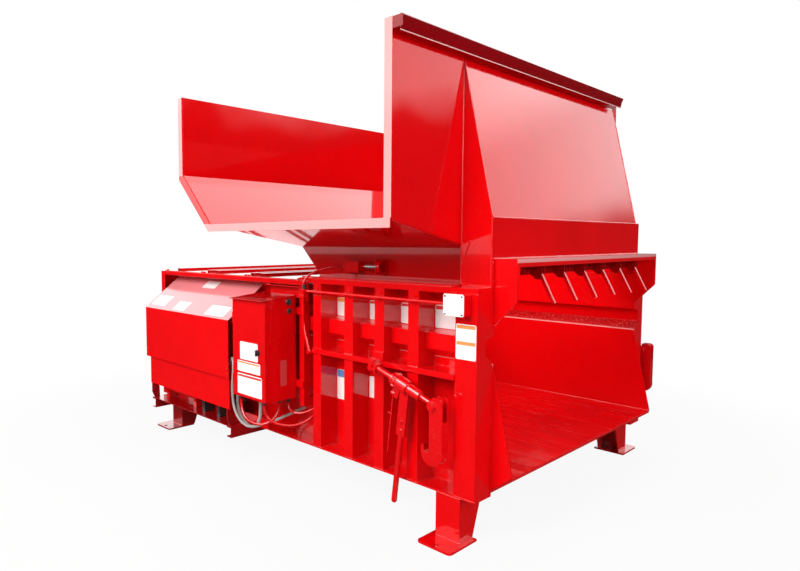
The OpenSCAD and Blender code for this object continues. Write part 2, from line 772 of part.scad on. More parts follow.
// Conduits held along the side: the straight run on the ribs and the drop to the wall
conduit_r = 8.5;
conduit_y = -side_y - conduit_r - 3.4;
drop_r = 9;
module conduits() {
    z = chamber_h - 68;
    drop_y = -side_y - 17;
    color(red) place() {
        rod_x(conduit_y, z, -1042, -129, conduit_r);
        for (x = rib_xs) block([x - 12, -side_y - 4, z - 22], [x + 12, -side_y, z + 22]);
        for (x = rib_xs) rod_x(conduit_y, z, x - 12, x + 12, conduit_r + 2);
        block([-1090, -side_y - 6, z - 54], [-1038, -side_y, z + 50]);
        block([-1080, drop_y - 13, z - 39], [-1042, -side_y - 6, z + 11]);
    }
    color(black) place() {
        translate([-1061, drop_y, 700.1]) cylinder(r = drop_r, h = z - 39 - 700.1);
        translate([-1061 + 300, drop_y, 700]) rotate([0, 180, 0]) bend(300, drop_r, 20);
        translate([-1061 + 300 * (1 - cos(20)), drop_y, 700 - 300 * sin(20)])
            rotate([0, 160, 0]) translate([0, 0, 0.1]) cylinder(r = drop_r, h = 85);
        rod_y(-1014, 512, drop_y - 12, -wall_out, 11);
    }
}

// Hook lugs: a tilted plate with a headed pin, on a pad welded to the rib and the mid rail
buckle_y = side_y + buckle_out;
lug_z = 523;
module near_buckle() {
    place() translate([near_lug_x, -buckle_y, lug_z]) rotate([0, near_tilt, 0]) children();
}

module far_buckle() {
    place() mirror([0, 1, 0]) translate([far_lug_x, -buckle_y, lug_z])
        rotate([0, far_tilt, 0]) children();
}

module lug() {
    reach = buckle_out - rail_t - 4;
    translate([0, 0, -8]) linear_extrude(16) {
        circle(18);
        polygon([[-18, 0], [18, 0], [22, reach], [-22, reach]]);
    }
    translate([0, 0, -29]) cylinder(r = lug_pin_r, h = 58);
    for (z = [-29, 19]) translate([0, 0, z]) cylinder(r = 16, h = 10);
}

module lug_pad(x) {
    for (z = [[mid_rail_z - 46, mid_rail_z], [mid_rail_z + mid_rail_h, mid_rail_z + mid_rail_h + 40]])
        block([x - 30, -side_y - rail_t, z[0]], [x + 30, -side_y, z[1]]);
    block([x - 30, -side_y - rail_t - 4, mid_rail_z - 46],
        [x + 30, -side_y - rail_t, mid_rail_z + mid_rail_h + 40]);
}

module hook_lugs() {
    color(red) {
        near_buckle() lug();
        far_buckle() lug();
        place() lug_pad(near_lug_x);
        place() mirror([0, 1, 0]) lug_pad(far_lug_x);
    }
}

// Turnbuckle pieces, along +X from the lug pin; s is how far each screw stands out of the sleeve
screw_r = screw_d / 2;
sleeve_len = near_reach - 231;
screw_in = sleeve_len / 2 - 1;
far_s = (far_reach - near_reach) / 2;

module rear_screw() {
    for (z = [-18.5, 8.5]) translate([0, 0, z]) linear_extrude(10) difference() {
        union() {
            circle(18);
            translate([0, -18]) square([40, 36]);
        }
        circle(lug_pin_r + fit_gap);
    }
    block([23, -18, -18.5], [42, 18, 18.5]);
    rod_x(0, 0, 42, sleeve_x + screw_in, screw_r);
}

module thrust_ring(s) {
    translate([s, 0, 0]) difference() {
        union() {
            rod_x(0, 0, sleeve_x - 12, sleeve_x - 0.4, 30);
            rod_x(0, 0, sleeve_x - 22, sleeve_x - 12, 20);
        }
        rod_x(0, 0, sleeve_x - 23, sleeve_x, screw_r + fit_gap);
    }
}

// Ratchet wheel outline: square-shouldered teeth round the sleeve
module ratchet_wheel() {
    step = 360 / tooth_count;
    polygon([for (i = [0:tooth_count - 1], k = [0:3])
        let(r = (k < 2) ? wheel_r : wheel_r - 6, a = i * step + [0, 0.35, 0.5, 0.85][k] * step)
        [r * cos(a), r * sin(a)]]);
}

module sleeve(s) {
    translate([s + sleeve_x, 0, 0]) difference() {
        union() {
            rod_x(0, 0, 0, sleeve_len, sleeve_d / 2);
            translate([4, 0, 0]) rotate([90, 0, 90]) linear_extrude(18) ratchet_wheel();
        }
        rod_x(0, 0, -1, sleeve_len + 1, screw_r + fit_gap);
    }
}

module front_screw(s) {
    translate([near_reach + 2 * s, 0, 0]) difference() {
        union() {
            rod_y(0, 0, -13, 13, 20);
            rod_x(0, 0, -(near_reach - sleeve_x - sleeve_len + screw_in), -10, screw_r);
        }
        rod_y(0, 0, -21, 21, hook_pin_r + fit_gap);
    }
}

// Handle: a bearing ring on the sleeve, a plate arm with two bolts and a round bar
module handle(s, tilt) {
    translate([s + sleeve_x, 0, 0]) difference() {
        union() {
            rod_x(0, 0, 26, 84, sleeve_d / 2 + 9);
            translate([66, 0, 0]) rotate([0, hand_lean - tilt, 0]) {
                block([-24, -8, -230], [24, 8, -20]);
                translate([0, 0, -hand_len]) cylinder(r = 13, h = hand_len - 200);
                translate([0, 0, -hand_len]) sphere(13);
                for (z = [-205, -165]) rod_y(0, z, -14, -8, 8);
            }
            block([25, -9, -pawl_drop - 12], [46, 9, -20]);
            rod_x(0, -pawl_drop, 2, 26, 5);
        }
        rod_x(0, 0, 20, 100, sleeve_d / 2 + fit_gap);
    }
}

// Pawl: a rocking tooth below the ratchet wheel, with a thin lever hanging beside the arm
module pawl(s, tilt) {
    translate([s + sleeve_x, 0, 0]) difference() {
        union() {
            rod_x(0, -pawl_drop, 4.5, 23.5, 12);
            block([6, -6, -pawl_drop], [21, 6, -wheel_r - 1.5]);
            translate([13, 0, -pawl_drop - 8]) rotate([0, hand_lean - tilt, 0]) {
                translate([0, 0, -lever_len]) cylinder(r = 4, h = lever_len);
                translate([0, 0, -lever_len]) sphere(4);
                rod_x(0, -lever_len / 3, -18, 4, 4);
            }
        }
        rod_x(0, -pawl_drop, 1, 27, 5 + fit_gap);
    }
}

// Hook: a thick J slotted at the top for the front screw's eye, with its bolt
module hook() {
    slot = screw_r + 1;
    difference() {
        translate([0, hook_t / 2, 0]) rotate([90, 0, 0]) linear_extrude(hook_t) difference() {
            union() {
                circle(26);
                translate([-13, -hook_drop + 54]) square([66, hook_drop - 54 + 22]);
                translate([0, 22]) square([35, 18]);
                translate([35, 22]) circle(18);
                translate([0, -hook_drop + 54]) circle(54);
                translate([-54, -hook_drop + 54]) square([60, 31]);
            }
            translate([-40, -hook_drop + 70]) square([27, 40]);
            translate([-26.5, -hook_drop + 70]) circle(13.5);
        }
        block([-60, -slot, -62], [60, slot, 60]);
    }
    rod_y(0, 0, -hook_t / 2 - 6, hook_t / 2 + 6, hook_pin_r);
    rotate([90, 0, 0]) translate([0, 0, hook_t / 2]) cylinder(r = 19, h = 13, $fn = 6);
    rotate([-90, 0, 0]) translate([0, 0, hook_t / 2]) cylinder(r = 17, h = 12, $fn = 6);
}

module near_rear_screw() {
    color(red) near_buckle() rear_screw();
}

module near_thrust_ring() {
    color(red) near_buckle() thrust_ring(0);
}

module near_sleeve() {
    color(red) near_buckle() sleeve(0);
}

module near_front_screw() {
    color(red) near_buckle() front_screw(0);
}

module near_handle() {
    color(red) near_buckle() handle(0, near_tilt);
}

module near_pawl() {
    color(red) near_buckle() pawl(0, near_tilt);
}

module far_rear_screw() {
    color(red) far_buckle() rear_screw();
}

module far_thrust_ring() {
    color(red) far_buckle() thrust_ring(far_s);
}

module far_sleeve() {
    color(red) far_buckle() sleeve(far_s);
}

module far_front_screw() {
    color(red) far_buckle() front_screw(far_s);
}

module far_handle() {
    color(red) far_buckle() handle(far_s, far_tilt);
}

module far_pawl() {
    color(red) far_buckle() pawl(far_s, far_tilt);
}

module near_hook() {
    color(red) place() translate([near_lug_x + near_reach * cos(near_tilt), -buckle_y,
        lug_z - near_reach * sin(near_tilt)]) hook();
}

module far_hook() {
    color(red) place() mirror([0, 1, 0]) translate([far_lug_x + far_reach * cos(far_tilt), -buckle_y,
        lug_z - far_reach * sin(far_tilt)]) hook();
}

// Cylinder barrel: tube with a rear eye on its pin and a gland at the front
barrel_x0 = cyl_pin_x + 40;
barrel_len = ram_stroke + 91;
barrel_x1 = barrel_x0 + barrel_len;
bore_r = barrel_d / 2 - 12.5;
module cylinder_barrel() {
    color(black) place() {
        difference() {
            rod_x(0, cyl_z, barrel_x0, barrel_x1, barrel_d / 2);
            rod_x(0, cyl_z, barrel_x0 + 14, barrel_x1 - 40, bore_r);
            rod_x(0, cyl_z, barrel_x0 + 14, barrel_x1 + 1, rod_d / 2 + fit_gap);
        }
        rod_y(cyl_pin_x, cyl_z, -32, 32, 32);
        block([cyl_pin_x, -30, cyl_z - 30], [barrel_x0, 30, cyl_z + 30]);
        rod_y(cyl_pin_x, cyl_z, -76, 76, cyl_pin_r);
        for (s = [-1, 1]) translate([(barrel_x0 + barrel_x1) / 2 + s * (barrel_len / 2 - 60), 0,
            cyl_z + barrel_d / 2 - 6]) cylinder(r = 16, h = 28);
    }
}

// Ram: face plate, roof, sides, guide bars in the wall channels and lugs for the rod eye
ram_y = half_w - ram_gap;
ram_rear = -frame_len + 169;
ram_face = -throat_rear;
ram_low = floor_h + 4;
lug_x = ram_face - 45;
module ram() {
    color(red) place() {
        block([ram_face - 12, -ram_y, ram_low], [ram_face, ram_y, ram_top]);
        block([ram_rear, -ram_y, ram_top - 8], [ram_face - 12, ram_y, ram_top]);
        both_sides() {
            block([ram_rear, -ram_y, ram_low], [ram_face - 12, -ram_y + 8, ram_top - 8]);
            along_x(ram_rear, ram_face - 20) mirror([1, 0]) polygon([
                [ram_y, guide_low + 4], [half_w, guide_low + 4],
                [half_w + guide_out - 3, guide_low_back + 3],
                [half_w + guide_out - 3, guide_high_back - 3],
                [half_w, guide_high - 3], [ram_y, guide_high - 3]]);
            for (y = [-ram_y / 2, -180]) difference() {
                along_y(y, y + 10) polygon([
                    [ram_face - 12, ram_low], [ram_face - 12, ram_top - 8], [ram_face - 300, ram_top - 8]]);
            }
        }
        for (x = [ram_rear, ram_rear + 400, ram_rear + 800])
            block([x, -ram_y + 8, ram_top - 68], [x + 10, ram_y - 8, ram_top - 8]);
        for (s = [-1, 1]) along_y(s * 45 - 12, s * 45 + 12) polygon([
            [ram_face - 12, cyl_z - 80], [lug_x, cyl_z - 34], [lug_x - 34, cyl_z],
            [lug_x, cyl_z + 34], [ram_face - 12, cyl_z + 80]]);
        rod_y(lug_x, cyl_z, -66, 66, cyl_pin_r);
    }
}

// Cylinder rod with its piston and eye
module cylinder_rod() {
    piston_x = barrel_x0 + 16;
    color(steel) place() {
        difference() {
            union() {
                rod_x(0, cyl_z, piston_x, lug_x - 38, rod_d / 2);
                block([lug_x - 38, -24, cyl_z - 24], [lug_x, 24, cyl_z + 24]);
                rod_x(0, cyl_z, piston_x, piston_x + 30, bore_r - fit_gap);
                rod_y(lug_x, cyl_z, -31, 31, 32);
            }
            rod_y(lug_x, cyl_z, -33, 33, cyl_pin_r + 0.1);
        }
    }
}

// Power unit in the hood: oil tank with filler cap and return filter, motor and pump on feet
module oil_tank() {
    x0 = hood_x0 + 80;
    color(dark_red) place() {
        block([x0, -unit_y - 70, 66], [x0 + 420, -unit_y + 90, 430]);
        for (x = [x0 + 20, x0 + 370], y = [[-60, -5], [18, 80]])
            block([x, y[0] - unit_y, tray_t], [x + 30, y[1] - unit_y, 66]);
        translate([x0 + 80, -unit_y + 10, 430]) rotate_extrude()
            polygon([[0, 0], [38, 0], [38, 12], [28, 14], [28, 34], [32, 36], [32, 52], [0, 52]]);
        translate([x0 + 330, -unit_y + 10, 430]) cylinder(r = 45, h = 60);
    }
}

module motor_pump() {
    mx = hood_x0 + 560;
    mz = 172;
    color(black) place() {
        rod_x(-unit_y, mz, mx, mx + 240, 90);
        rod_x(-unit_y, mz, mx - 40, mx, 96);
        rod_x(-unit_y, mz, mx + 240, mx + 270, 100);
        rod_x(-unit_y, mz, mx + 270, mx + 370, 55);
        for (x = [mx + 20, mx + 190], y = [[-75, -3], [15, 75]])
            block([x, y[0] - unit_y, tray_t], [x + 30, y[1] - unit_y, mz - 45]);
        block([mx + 80, -unit_y - 60, mz + 80], [mx + 180, -unit_y + 30, mz + 160]);
        block([-1780, -unit_y - 80, 260], [-1690, -unit_y - 10, 340]);
        block([-1790, -unit_y - 50, mz + 70], [-1700, -unit_y - 20, 265]);
    }
}

// Cords and hoses: a round tube swept along points chosen by hand
function unit(v) = v / norm(v);
function along(p, i) = unit(p[min(i + 1, len(p) - 1)] - p[max(i - 1, 0)]);
module hose(p, r, side) {
    n = 8;
    last = len(p) - 1;
    points = [for (i = [0:last]) let(t = along(p, i), a = unit(cross(t, side)), b = cross(t, a))
        for (k = [0:n - 1]) p[i] + r * (cos(360 * k / n) * a + sin(360 * k / n) * b)];
    faces = concat([[for (k = [0:n - 1]) k]], [[for (k = [0:n - 1]) last * n + n - 1 - k]],
        [for (i = [0:last - 1], k = [0:n - 1], half = [0, 1])
            let(a = i * n + k, b = i * n + (k + 1) % n)
            (half == 0) ? [a, a + n, b + n] : [a, b + n, b]]);
    polyhedron(points = points, faces = faces);
}

// Points of the cords by the control box count y from the outer face of the ribs
module cord_place() {
    place() translate([0, -side_y, 0]) children();
}

module hose_loop_a() {
    color(red) cord_place() hose([[-1410, -175, gland_z], [-1410, -175, 203], [-1410, -175, 190],
        [-1402, -177, 162], [-1384, -180, 136], [-1356, -181, 115], [-1322, -177, 101],
        [-1284, -166, 94], [-1246, -147, 96], [-1215, -123, 112], [-1196, -101, 138],
        [-1190, -85, 168], [-1190, -78, 195], [-1190, -78, 205], [-1190, -78, gland_z]], 8, [0, 1, 0.2]);
}

module hose_loop_b() {
    y = rib_depth - gland_len;
    color(red) cord_place() hose([[-1200, -173, gland_z], [-1200, -173, 204], [-1200, -173, 192],
        [-1195, -167, 164], [-1180, -153, 138], [-1156, -131, 119], [-1126, -103, 109],
        [-1096, -73, 107], [-1069, -41, 114], [-1049, -7, 129], [-1036, 27, 149], [-1030, 59, 166],
        [-1030, y - 15, 175], [-1030, y - 7, 175], [-1030, y, 175]], 8, [1, 0.4, 0]);
}

module hose_loop_c() {
    y = rib_depth - gland_len;
    color(red) cord_place() hose([[-1168, -33, gland_z], [-1168, -33, 208], [-1168, -33, 200],
        [-1162, -33, 184], [-1147, -32, 171], [-1125, -28, 164], [-1112, -23, 163],
        [-1100, -17, 163], [-1076, 1, 168], [-1054, 25, 180], [-1045, 38, 188], [-1038, 52, 196],
        [-1031, 75, 208], [-1030, y - 6, 212], [-1030, y, 212]], 6, [0.3, 1, 0]);
}

module motor_cable() {
    color(grey) cord_place() hose([[-1665, -58, 300], [-1640, -58, 300], [-1612, -62, 295],
        [-1586, -70, 279], [-1568, -80, 252], [-1560, -89, 218], [-1556, -97, 180],
        [-1545, -104, 140], [-1523, -109, 102], [-1490, -112, 71], [-1450, -114, 50],
        [-1408, -115, 42], [-1368, -115, 52], [-1338, -114, 78], [-1320, -113, 114],
        [-1314, -113, 155], [-1314, -113, 190], [-1314, -113, gland_z]], 9, [0, 1, 0]);
}

// Point of the signal cable, f of the way from the photo-eye out to the conduit's end
function signal(x, f, z) = [x, eye_y - f * (side_y + 17 + eye_y), chamber_h + z];
module signal_cable() {
    color(red) place() hose([signal(-1052, 1, -32), signal(-1052, 1, -22), signal(-1048, 0.97, -5),
        signal(-1042, 0.94, 4), signal(-1036, 0.91, 12), signal(-1020, 0.8, 27), signal(-1006, 0.68, 39),
        signal(-993, 0.53, 48), signal(-980, 0.38, 55), signal(-967, 0.24, 59), signal(-951, 0.1, 61.5),
        signal(-943, 0.05, 62), signal(-936, 0, 62), signal(-929, 0, 62), signal(-920, 0, 62)],
        6, [0, 0.3, 1]);
}

floor_plate();
side_walls();
ribs();
posts();
side_rails();
power_unit_frame();
legs();
rear_frame();
top_covers();
hopper_rear();
hopper_chute();
hopper_front();
hopper_far_wall();
hopper_rims();
front_panel();
canopy();
finger_brackets();
guide_wings();
hood();
control_box();
box_bracket();
cable_glands();
contactor_plate();
photo_eye();
station_box();
conduits();
hook_lugs();
cylinder_barrel();
oil_tank();
motor_pump();
ram();
cylinder_rod();
finger(0);  // finger_1
finger(1);  // finger_2
finger(2);  // finger_3
finger(3);  // finger_4
finger(4);  // finger_5
finger(5);  // finger_6
control_door();
door_latch();
selector_knob();
near_rear_screw();
near_thrust_ring();
near_sleeve();
near_front_screw();
near_handle();
near_pawl();
near_hook();
far_rear_screw();
far_thrust_ring();
far_sleeve();
far_front_screw();
far_handle();
far_pawl();
far_hook();
hose_loop_a();
hose_loop_b();
hose_loop_c();
motor_cable();
signal_cable();
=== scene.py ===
# Stationary waste compactor in gloss red enamel, put together piece by piece round the packed
# frame: structure, ram, hopper, retainer fingers, power unit, control box and turnbuckles.
import math
import bpy
import numpy as np
from mathutils import Matrix, Vector


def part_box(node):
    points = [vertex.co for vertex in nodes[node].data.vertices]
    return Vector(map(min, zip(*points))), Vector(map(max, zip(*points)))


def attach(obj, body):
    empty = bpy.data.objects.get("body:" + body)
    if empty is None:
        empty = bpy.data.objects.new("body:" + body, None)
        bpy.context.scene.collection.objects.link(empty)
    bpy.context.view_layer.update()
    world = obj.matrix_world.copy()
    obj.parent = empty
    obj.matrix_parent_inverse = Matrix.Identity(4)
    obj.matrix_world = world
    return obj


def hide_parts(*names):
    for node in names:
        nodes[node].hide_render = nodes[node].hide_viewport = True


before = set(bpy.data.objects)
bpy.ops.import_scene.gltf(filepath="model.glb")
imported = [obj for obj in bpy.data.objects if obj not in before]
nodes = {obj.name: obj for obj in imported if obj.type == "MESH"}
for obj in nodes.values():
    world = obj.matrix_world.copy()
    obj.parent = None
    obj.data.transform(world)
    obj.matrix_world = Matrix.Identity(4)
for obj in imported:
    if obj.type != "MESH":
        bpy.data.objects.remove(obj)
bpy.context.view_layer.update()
discharge_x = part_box("posts")[1][0]
rail_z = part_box("side_rails")[0][2]
mm = 0.001


def place(points):
    """Millimetres from the discharge plane and the base rails' underside, as metres."""
    return np.asarray(points, float) * mm + np.array([discharge_x, 0.0, rail_z])


# Camera
# A view from chest height of the machine's front corner on the operator's side, some two and a
# half metres from it, through a wide lens. The shift is what the picture's framing needs.
camera_at = Vector((2.692, -3.0525, 1.3024))
camera_yaw = math.radians(137.43)
camera_pitch = math.radians(-4.05)
camera_roll = math.radians(-0.05)
ahead = Vector((math.cos(camera_yaw) * math.cos(camera_pitch),
                math.sin(camera_yaw) * math.cos(camera_pitch), math.sin(camera_pitch)))
level = ahead.cross(Vector((0, 0, 1))).normalized()
upward = level.cross(ahead)
camera_right = math.cos(camera_roll) * level + math.sin(camera_roll) * upward
camera_up = math.cos(camera_roll) * upward - math.sin(camera_roll) * level
camera = bpy.data.objects.new("camera", bpy.data.cameras.new("camera"))
bpy.context.scene.collection.objects.link(camera)
camera.matrix_world = Matrix.LocRotScale(
    camera_at, Matrix((camera_right, camera_up, -ahead)).transposed(), None)
camera.data.sensor_width = 36
camera.data.lens = 27.685
camera.data.shift_x = 0.1025
camera.data.shift_y = -0.001
bpy.context.scene.camera = camera


# Hoses and cables
# Three hoses and the sensor's cable are sprayed over with the machine's enamel, and two cables are
# grey. Each hangs under its own weight between its two ends.
def smooth_path(points, steps):
    """A curve through the points, a cubic between each pair whose end slopes are those of the
    chords past it (Catmull-Rom), as an array of places."""
    p = np.vstack([2 * points[0] - points[1], points, 2 * points[-1] - points[-2]])
    t = np.linspace(0, 1, steps, endpoint=False)[None, :, None]
    a, b, c, d = (p[i:len(p) - 3 + i, None, :] for i in range(4))
    curve = 0.5 * (2 * b + (c - a) * t + (2 * a - 5 * b + 4 * c - d) * t ** 2
                   + (3 * b - a - 3 * c + d) * t ** 3)
    return np.vstack([curve.reshape(-1, 3), points[-1:]])


def swept(path, radius, side, sides):
    """A round section carried along a path: each ring lies in the plane across the path's
    direction, turned so that its first axis is square to the given side direction."""
    along = np.gradient(path, axis=0)
    along /= np.linalg.norm(along, axis=1, keepdims=True)
    first = np.cross(along, np.asarray(side, float))
    first /= np.linalg.norm(first, axis=1, keepdims=True)
    second = np.cross(along, first)
    turn = np.linspace(0, 2 * np.pi, sides, endpoint=False)[None, :, None]
    r = np.broadcast_to(np.asarray(radius, float), (len(path),))[:, None, None]
    return path[:, None, :] + r * (np.cos(turn) * first[:, None] + np.sin(turn) * second[:, None])


def skin(grid, capped=True):
    """Vertices and faces of a tube from its rings: a quad between each pair of neighbours on two
    rings that follow each other, and a flat face over each end ring."""
    rows, cols = grid.shape[:2]
    i, j = np.meshgrid(np.arange(rows - 1), np.arange(cols), indexing="ij")
    k = (j + 1) % cols
    quads = np.stack([i * cols + j, i * cols + k, (i + 1) * cols + k, (i + 1) * cols + j], -1)
    faces = quads.reshape(-1, 4).tolist()
    if capped:
        faces.append(list(range(cols))[::-1])
        faces.append([(rows - 1) * cols + c for c in range(cols)])
    return grid.reshape(-1, 3), faces


def new_piece(name, verts, faces, material, body, slot, smooth=True):
    """A mesh object at the origin with its place in its vertices, riding on a body."""
    mesh = bpy.data.meshes.new(name)
    mesh.from_pydata(np.asarray(verts, float).tolist(), [], faces)
    mesh.validate()
    mesh.materials.append(material)
    mesh.polygons.foreach_set("use_smooth", [smooth] * len(mesh.polygons))
    piece = bpy.data.objects.new(name, mesh)
    bpy.context.scene.collection.objects.link(piece)
    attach(piece, body)
    return piece


def new_group(name, inputs, outputs):
    """A shader node group with named float, colour or vector inputs and outputs."""
    kinds = {"float": "NodeSocketFloat", "colour": "NodeSocketColor", "vector": "NodeSocketVector"}
    tree = bpy.data.node_groups.new(name, "ShaderNodeTree")
    for title, kind in inputs:
        tree.interface.new_socket(title, in_out="INPUT", socket_type=kinds[kind])
    for title, kind in outputs:
        tree.interface.new_socket(title, in_out="OUTPUT", socket_type=kinds[kind])
    return tree, tree.nodes.new("NodeGroupInput"), tree.nodes.new("NodeGroupOutput")


def add(tree, kind, inputs=None, **settings):
    """A node of that kind with its settings, and its inputs linked or set by name or number."""
    node = tree.nodes.new(kind)
    for key, value in settings.items():
        setattr(node, key, value)
    for key, value in (inputs or {}).items():
        socket = node.inputs[key]
        if isinstance(value, bpy.types.NodeSocket):
            tree.links.new(value, socket)
        else:
            socket.default_value = value
    return node


def use(tree, group, inputs):
    """A group placed in a material, with its inputs linked or set."""
    return add(tree, "ShaderNodeGroup", inputs, node_tree=group)


def math_node(tree, operation, a, b):
    return add(tree, "ShaderNodeMath", {0: a, 1: b}, operation=operation).outputs[0]


def product(tree, first, *others):
    for other in others:
        first = math_node(tree, "MULTIPLY", first, other)
    return first


def mixed(tree, factor, a, b):
    return add(tree, "ShaderNodeMix", {0: factor, 6: a, 7: b}, data_type="RGBA").outputs[2]


def noise(tree, position, scale, detail, roughness=0.5):
    return add(tree, "ShaderNodeTexNoise", {"Vector": position, "Scale": scale, "Detail": detail,
                                            "Roughness": roughness}).outputs[0]


def ramp(tree, value, low, high, at_low, at_high, **settings):
    """A value carried from the range low..high over to at_low..at_high, and held at the ends."""
    return add(tree, "ShaderNodeMapRange", {0: value, 1: low, 2: high, 3: at_low, 4: at_high},
               **settings).outputs[0]


def axes(tree, vector):
    """The vector's parts, as sockets named X, Y and Z."""
    return add(tree, "ShaderNodeSeparateXYZ", {0: vector}).outputs


def facing(tree):
    """The parts of the direction that the surface looks in."""
    return axes(tree, add(tree, "ShaderNodeNewGeometry").outputs["Normal"])


# Sprayed skin: fine orange peel and the slow waves of welded sheet, as a height in millimetres
sprayed, g_in, g_out = new_group(
    "sprayed_skin", [("Position", "vector"), ("Peel", "float"), ("Wave", "float")],
    [("Height", "float")])
peel = noise(sprayed, g_in.outputs["Position"], scale=260.0, detail=2.0)
wave = noise(sprayed, g_in.outputs["Position"], scale=3.2, detail=1.0)
peel_height = product(sprayed, peel, g_in.outputs["Peel"])
wave_height = product(sprayed, wave, g_in.outputs["Wave"])
sprayed.links.new(math_node(sprayed, "ADD", peel_height, wave_height), g_out.inputs["Height"])

# Coat tone: the enamel's colour, a little deeper where the coat is thick and dusty where it lies
toned, g_in, g_out = new_group(
    "coat_tone", [("Position", "vector"), ("Colour", "colour"), ("Deep", "colour"),
                  ("Patches", "float"), ("Dust", "float")],
    [("Colour", "colour"), ("Dull", "float")])
patch = noise(toned, g_in.outputs["Position"], scale=2.1, detail=4.0, roughness=0.6)
patch_share = ramp(toned, patch, 0.42, 0.68, 0.0, g_in.outputs["Patches"])
speck = noise(toned, g_in.outputs["Position"], scale=95.0, detail=5.0, roughness=0.7)
speck_share = ramp(toned, speck, 0.56, 0.78, 0.0, g_in.outputs["Dust"])
deepened = mixed(toned, patch_share, g_in.outputs["Colour"], g_in.outputs["Deep"])
dust_colour = (0.55, 0.30, 0.28, 1)
toned.links.new(mixed(toned, speck_share, deepened, dust_colour), g_out.inputs["Colour"])
toned.links.new(speck_share, g_out.inputs["Dull"])

red = (0.71, 0.0012, 0.0030)
deep_red = (0.52, 0.0006, 0.0015)
dusty_roughness = 0.65
coat_roughness = 0.03


def gloss_enamel(name, colour=red, deep=deep_red, patches=0.35, dust=0.06, rough=0.12,
                 peel_mm=0.010, wave_mm=0.35, edge_mm=3.0, shine=0.2, coat=1.0, extra=None):
    """Gloss enamel on steel: toned colour, orange peel and sheet waves, and softly rounded edges.
    extra takes the tree, position, colour and dullness so far, and gives the colour, a height in
    millimetres and the dullness."""
    material = bpy.data.materials.new(name)
    material.use_nodes = True
    tree = material.node_tree
    shader = tree.nodes["Principled BSDF"]
    position = add(tree, "ShaderNodeTexCoord").outputs["Object"]
    tone = use(tree, toned, {"Position": position, "Colour": (*colour, 1), "Deep": (*deep, 1),
                             "Patches": patches, "Dust": dust})
    skin_height = use(tree, sprayed, {"Position": position, "Peel": peel_mm, "Wave": wave_mm})
    out_colour, out_height = tone.outputs["Colour"], skin_height.outputs["Height"]
    dull = tone.outputs["Dull"]
    if extra:
        out_colour, extra_height, dull = extra(tree, position, out_colour, dull)
        out_height = math_node(tree, "ADD", out_height, extra_height)
    edge = add(tree, "ShaderNodeBevel", {"Radius": edge_mm * mm}, samples=4)
    bump = add(tree, "ShaderNodeBump", {"Height": out_height, "Normal": edge.outputs[0],
                                        "Strength": 1.0, "Distance": mm})
    tree.links.new(out_colour, shader.inputs["Base Color"])
    tree.links.new(ramp(tree, dull, 0.0, 1.0, rough, dusty_roughness), shader.inputs["Roughness"])
    tree.links.new(bump.outputs[0], shader.inputs["Normal"])
    shader.inputs["Specular IOR Level"].default_value = shine
    shader.inputs["Coat Weight"].default_value = coat
    shader.inputs["Coat Roughness"].default_value = coat_roughness
    return material


hose_paint = gloss_enamel("hose_paint", (0.62, 0.002, 0.004), (0.40, 0.001, 0.002), patches=0.5,
                          dust=0.25, rough=0.22, peel_mm=0.03, wave_mm=0.0, edge_mm=0.1)
sheath_grey = gloss_enamel("sheath_grey", (0.36, 0.34, 0.32), (0.20, 0.18, 0.17), patches=0.8,
                           dust=0.35, rough=0.42, peel_mm=0.04, wave_mm=0.0, edge_mm=0.1,
                           shine=0.4, coat=0.0)

gland_z = 215
wall_gland_y = -793
hose_routes = {
    "hose_loop_a": (8, (0, 1, 0.2), [
        (-1410, -1062, gland_z), (-1410, -1062, 203), (-1410, -1062, 190), (-1402, -1064, 162),
        (-1384, -1067, 136), (-1356, -1068, 115), (-1322, -1064, 101), (-1284, -1053, 94),
        (-1246, -1034, 96), (-1215, -1010, 112), (-1196, -988, 138), (-1190, -972, 168),
        (-1190, -965, 195), (-1190, -965, 205), (-1190, -965, gland_z)]),
    "hose_loop_b": (8, (1, 0.4, 0), [
        (-1200, -1060, gland_z), (-1200, -1060, 204), (-1200, -1060, 192), (-1195, -1054, 164),
        (-1180, -1040, 138), (-1156, -1018, 119), (-1126, -990, 109), (-1096, -960, 107),
        (-1069, -928, 114), (-1049, -894, 129), (-1036, -860, 149), (-1030, -828, 166),
        (-1030, -808, 175), (-1030, -800, 175), (-1030, wall_gland_y, 175)]),
    "hose_loop_c": (6, (0.3, 1, 0), [
        (-1168, -920, gland_z), (-1168, -920, 208), (-1168, -920, 200), (-1162, -920, 184),
        (-1147, -919, 171), (-1125, -915, 164), (-1112, -910, 163), (-1100, -904, 163),
        (-1076, -886, 168), (-1054, -862, 180), (-1045, -849, 188), (-1038, -835, 196),
        (-1031, -812, 208), (-1030, -799, 212), (-1030, wall_gland_y, 212)]),
    "signal_cable": (6, (0, 0.3, 1), [
        (-1052, -904, 870), (-1052, -904, 880), (-1048, -898.8, 897), (-1042, -893.6, 906),
        (-1036, -888.3, 914), (-1020, -869.2, 929), (-1006, -848.3, 941), (-993, -822.2, 950),
        (-980, -796.1, 957), (-967, -771.8, 961), (-951, -747.4, 963.5), (-943, -738.7, 964),
        (-936, -730, 964), (-929, -730, 964), (-920, -730, 964)]),
    "motor_cable": (9, (0, 1, 0), [
        (-1665, -945, 300), (-1640, -945, 300), (-1612, -949, 295), (-1586, -957, 279),
        (-1568, -967, 252), (-1560, -976, 218), (-1556, -984, 180), (-1545, -991, 140),
        (-1523, -996, 102), (-1490, -999, 71), (-1450, -1001, 50), (-1408, -1002, 42),
        (-1368, -1002, 52), (-1338, -1001, 78), (-1320, -1000, 114), (-1314, -1000, 155),
        (-1314, -1000, 190), (-1314, -1000, gland_z)]),
}
path_steps = 6
cord_sides = 20
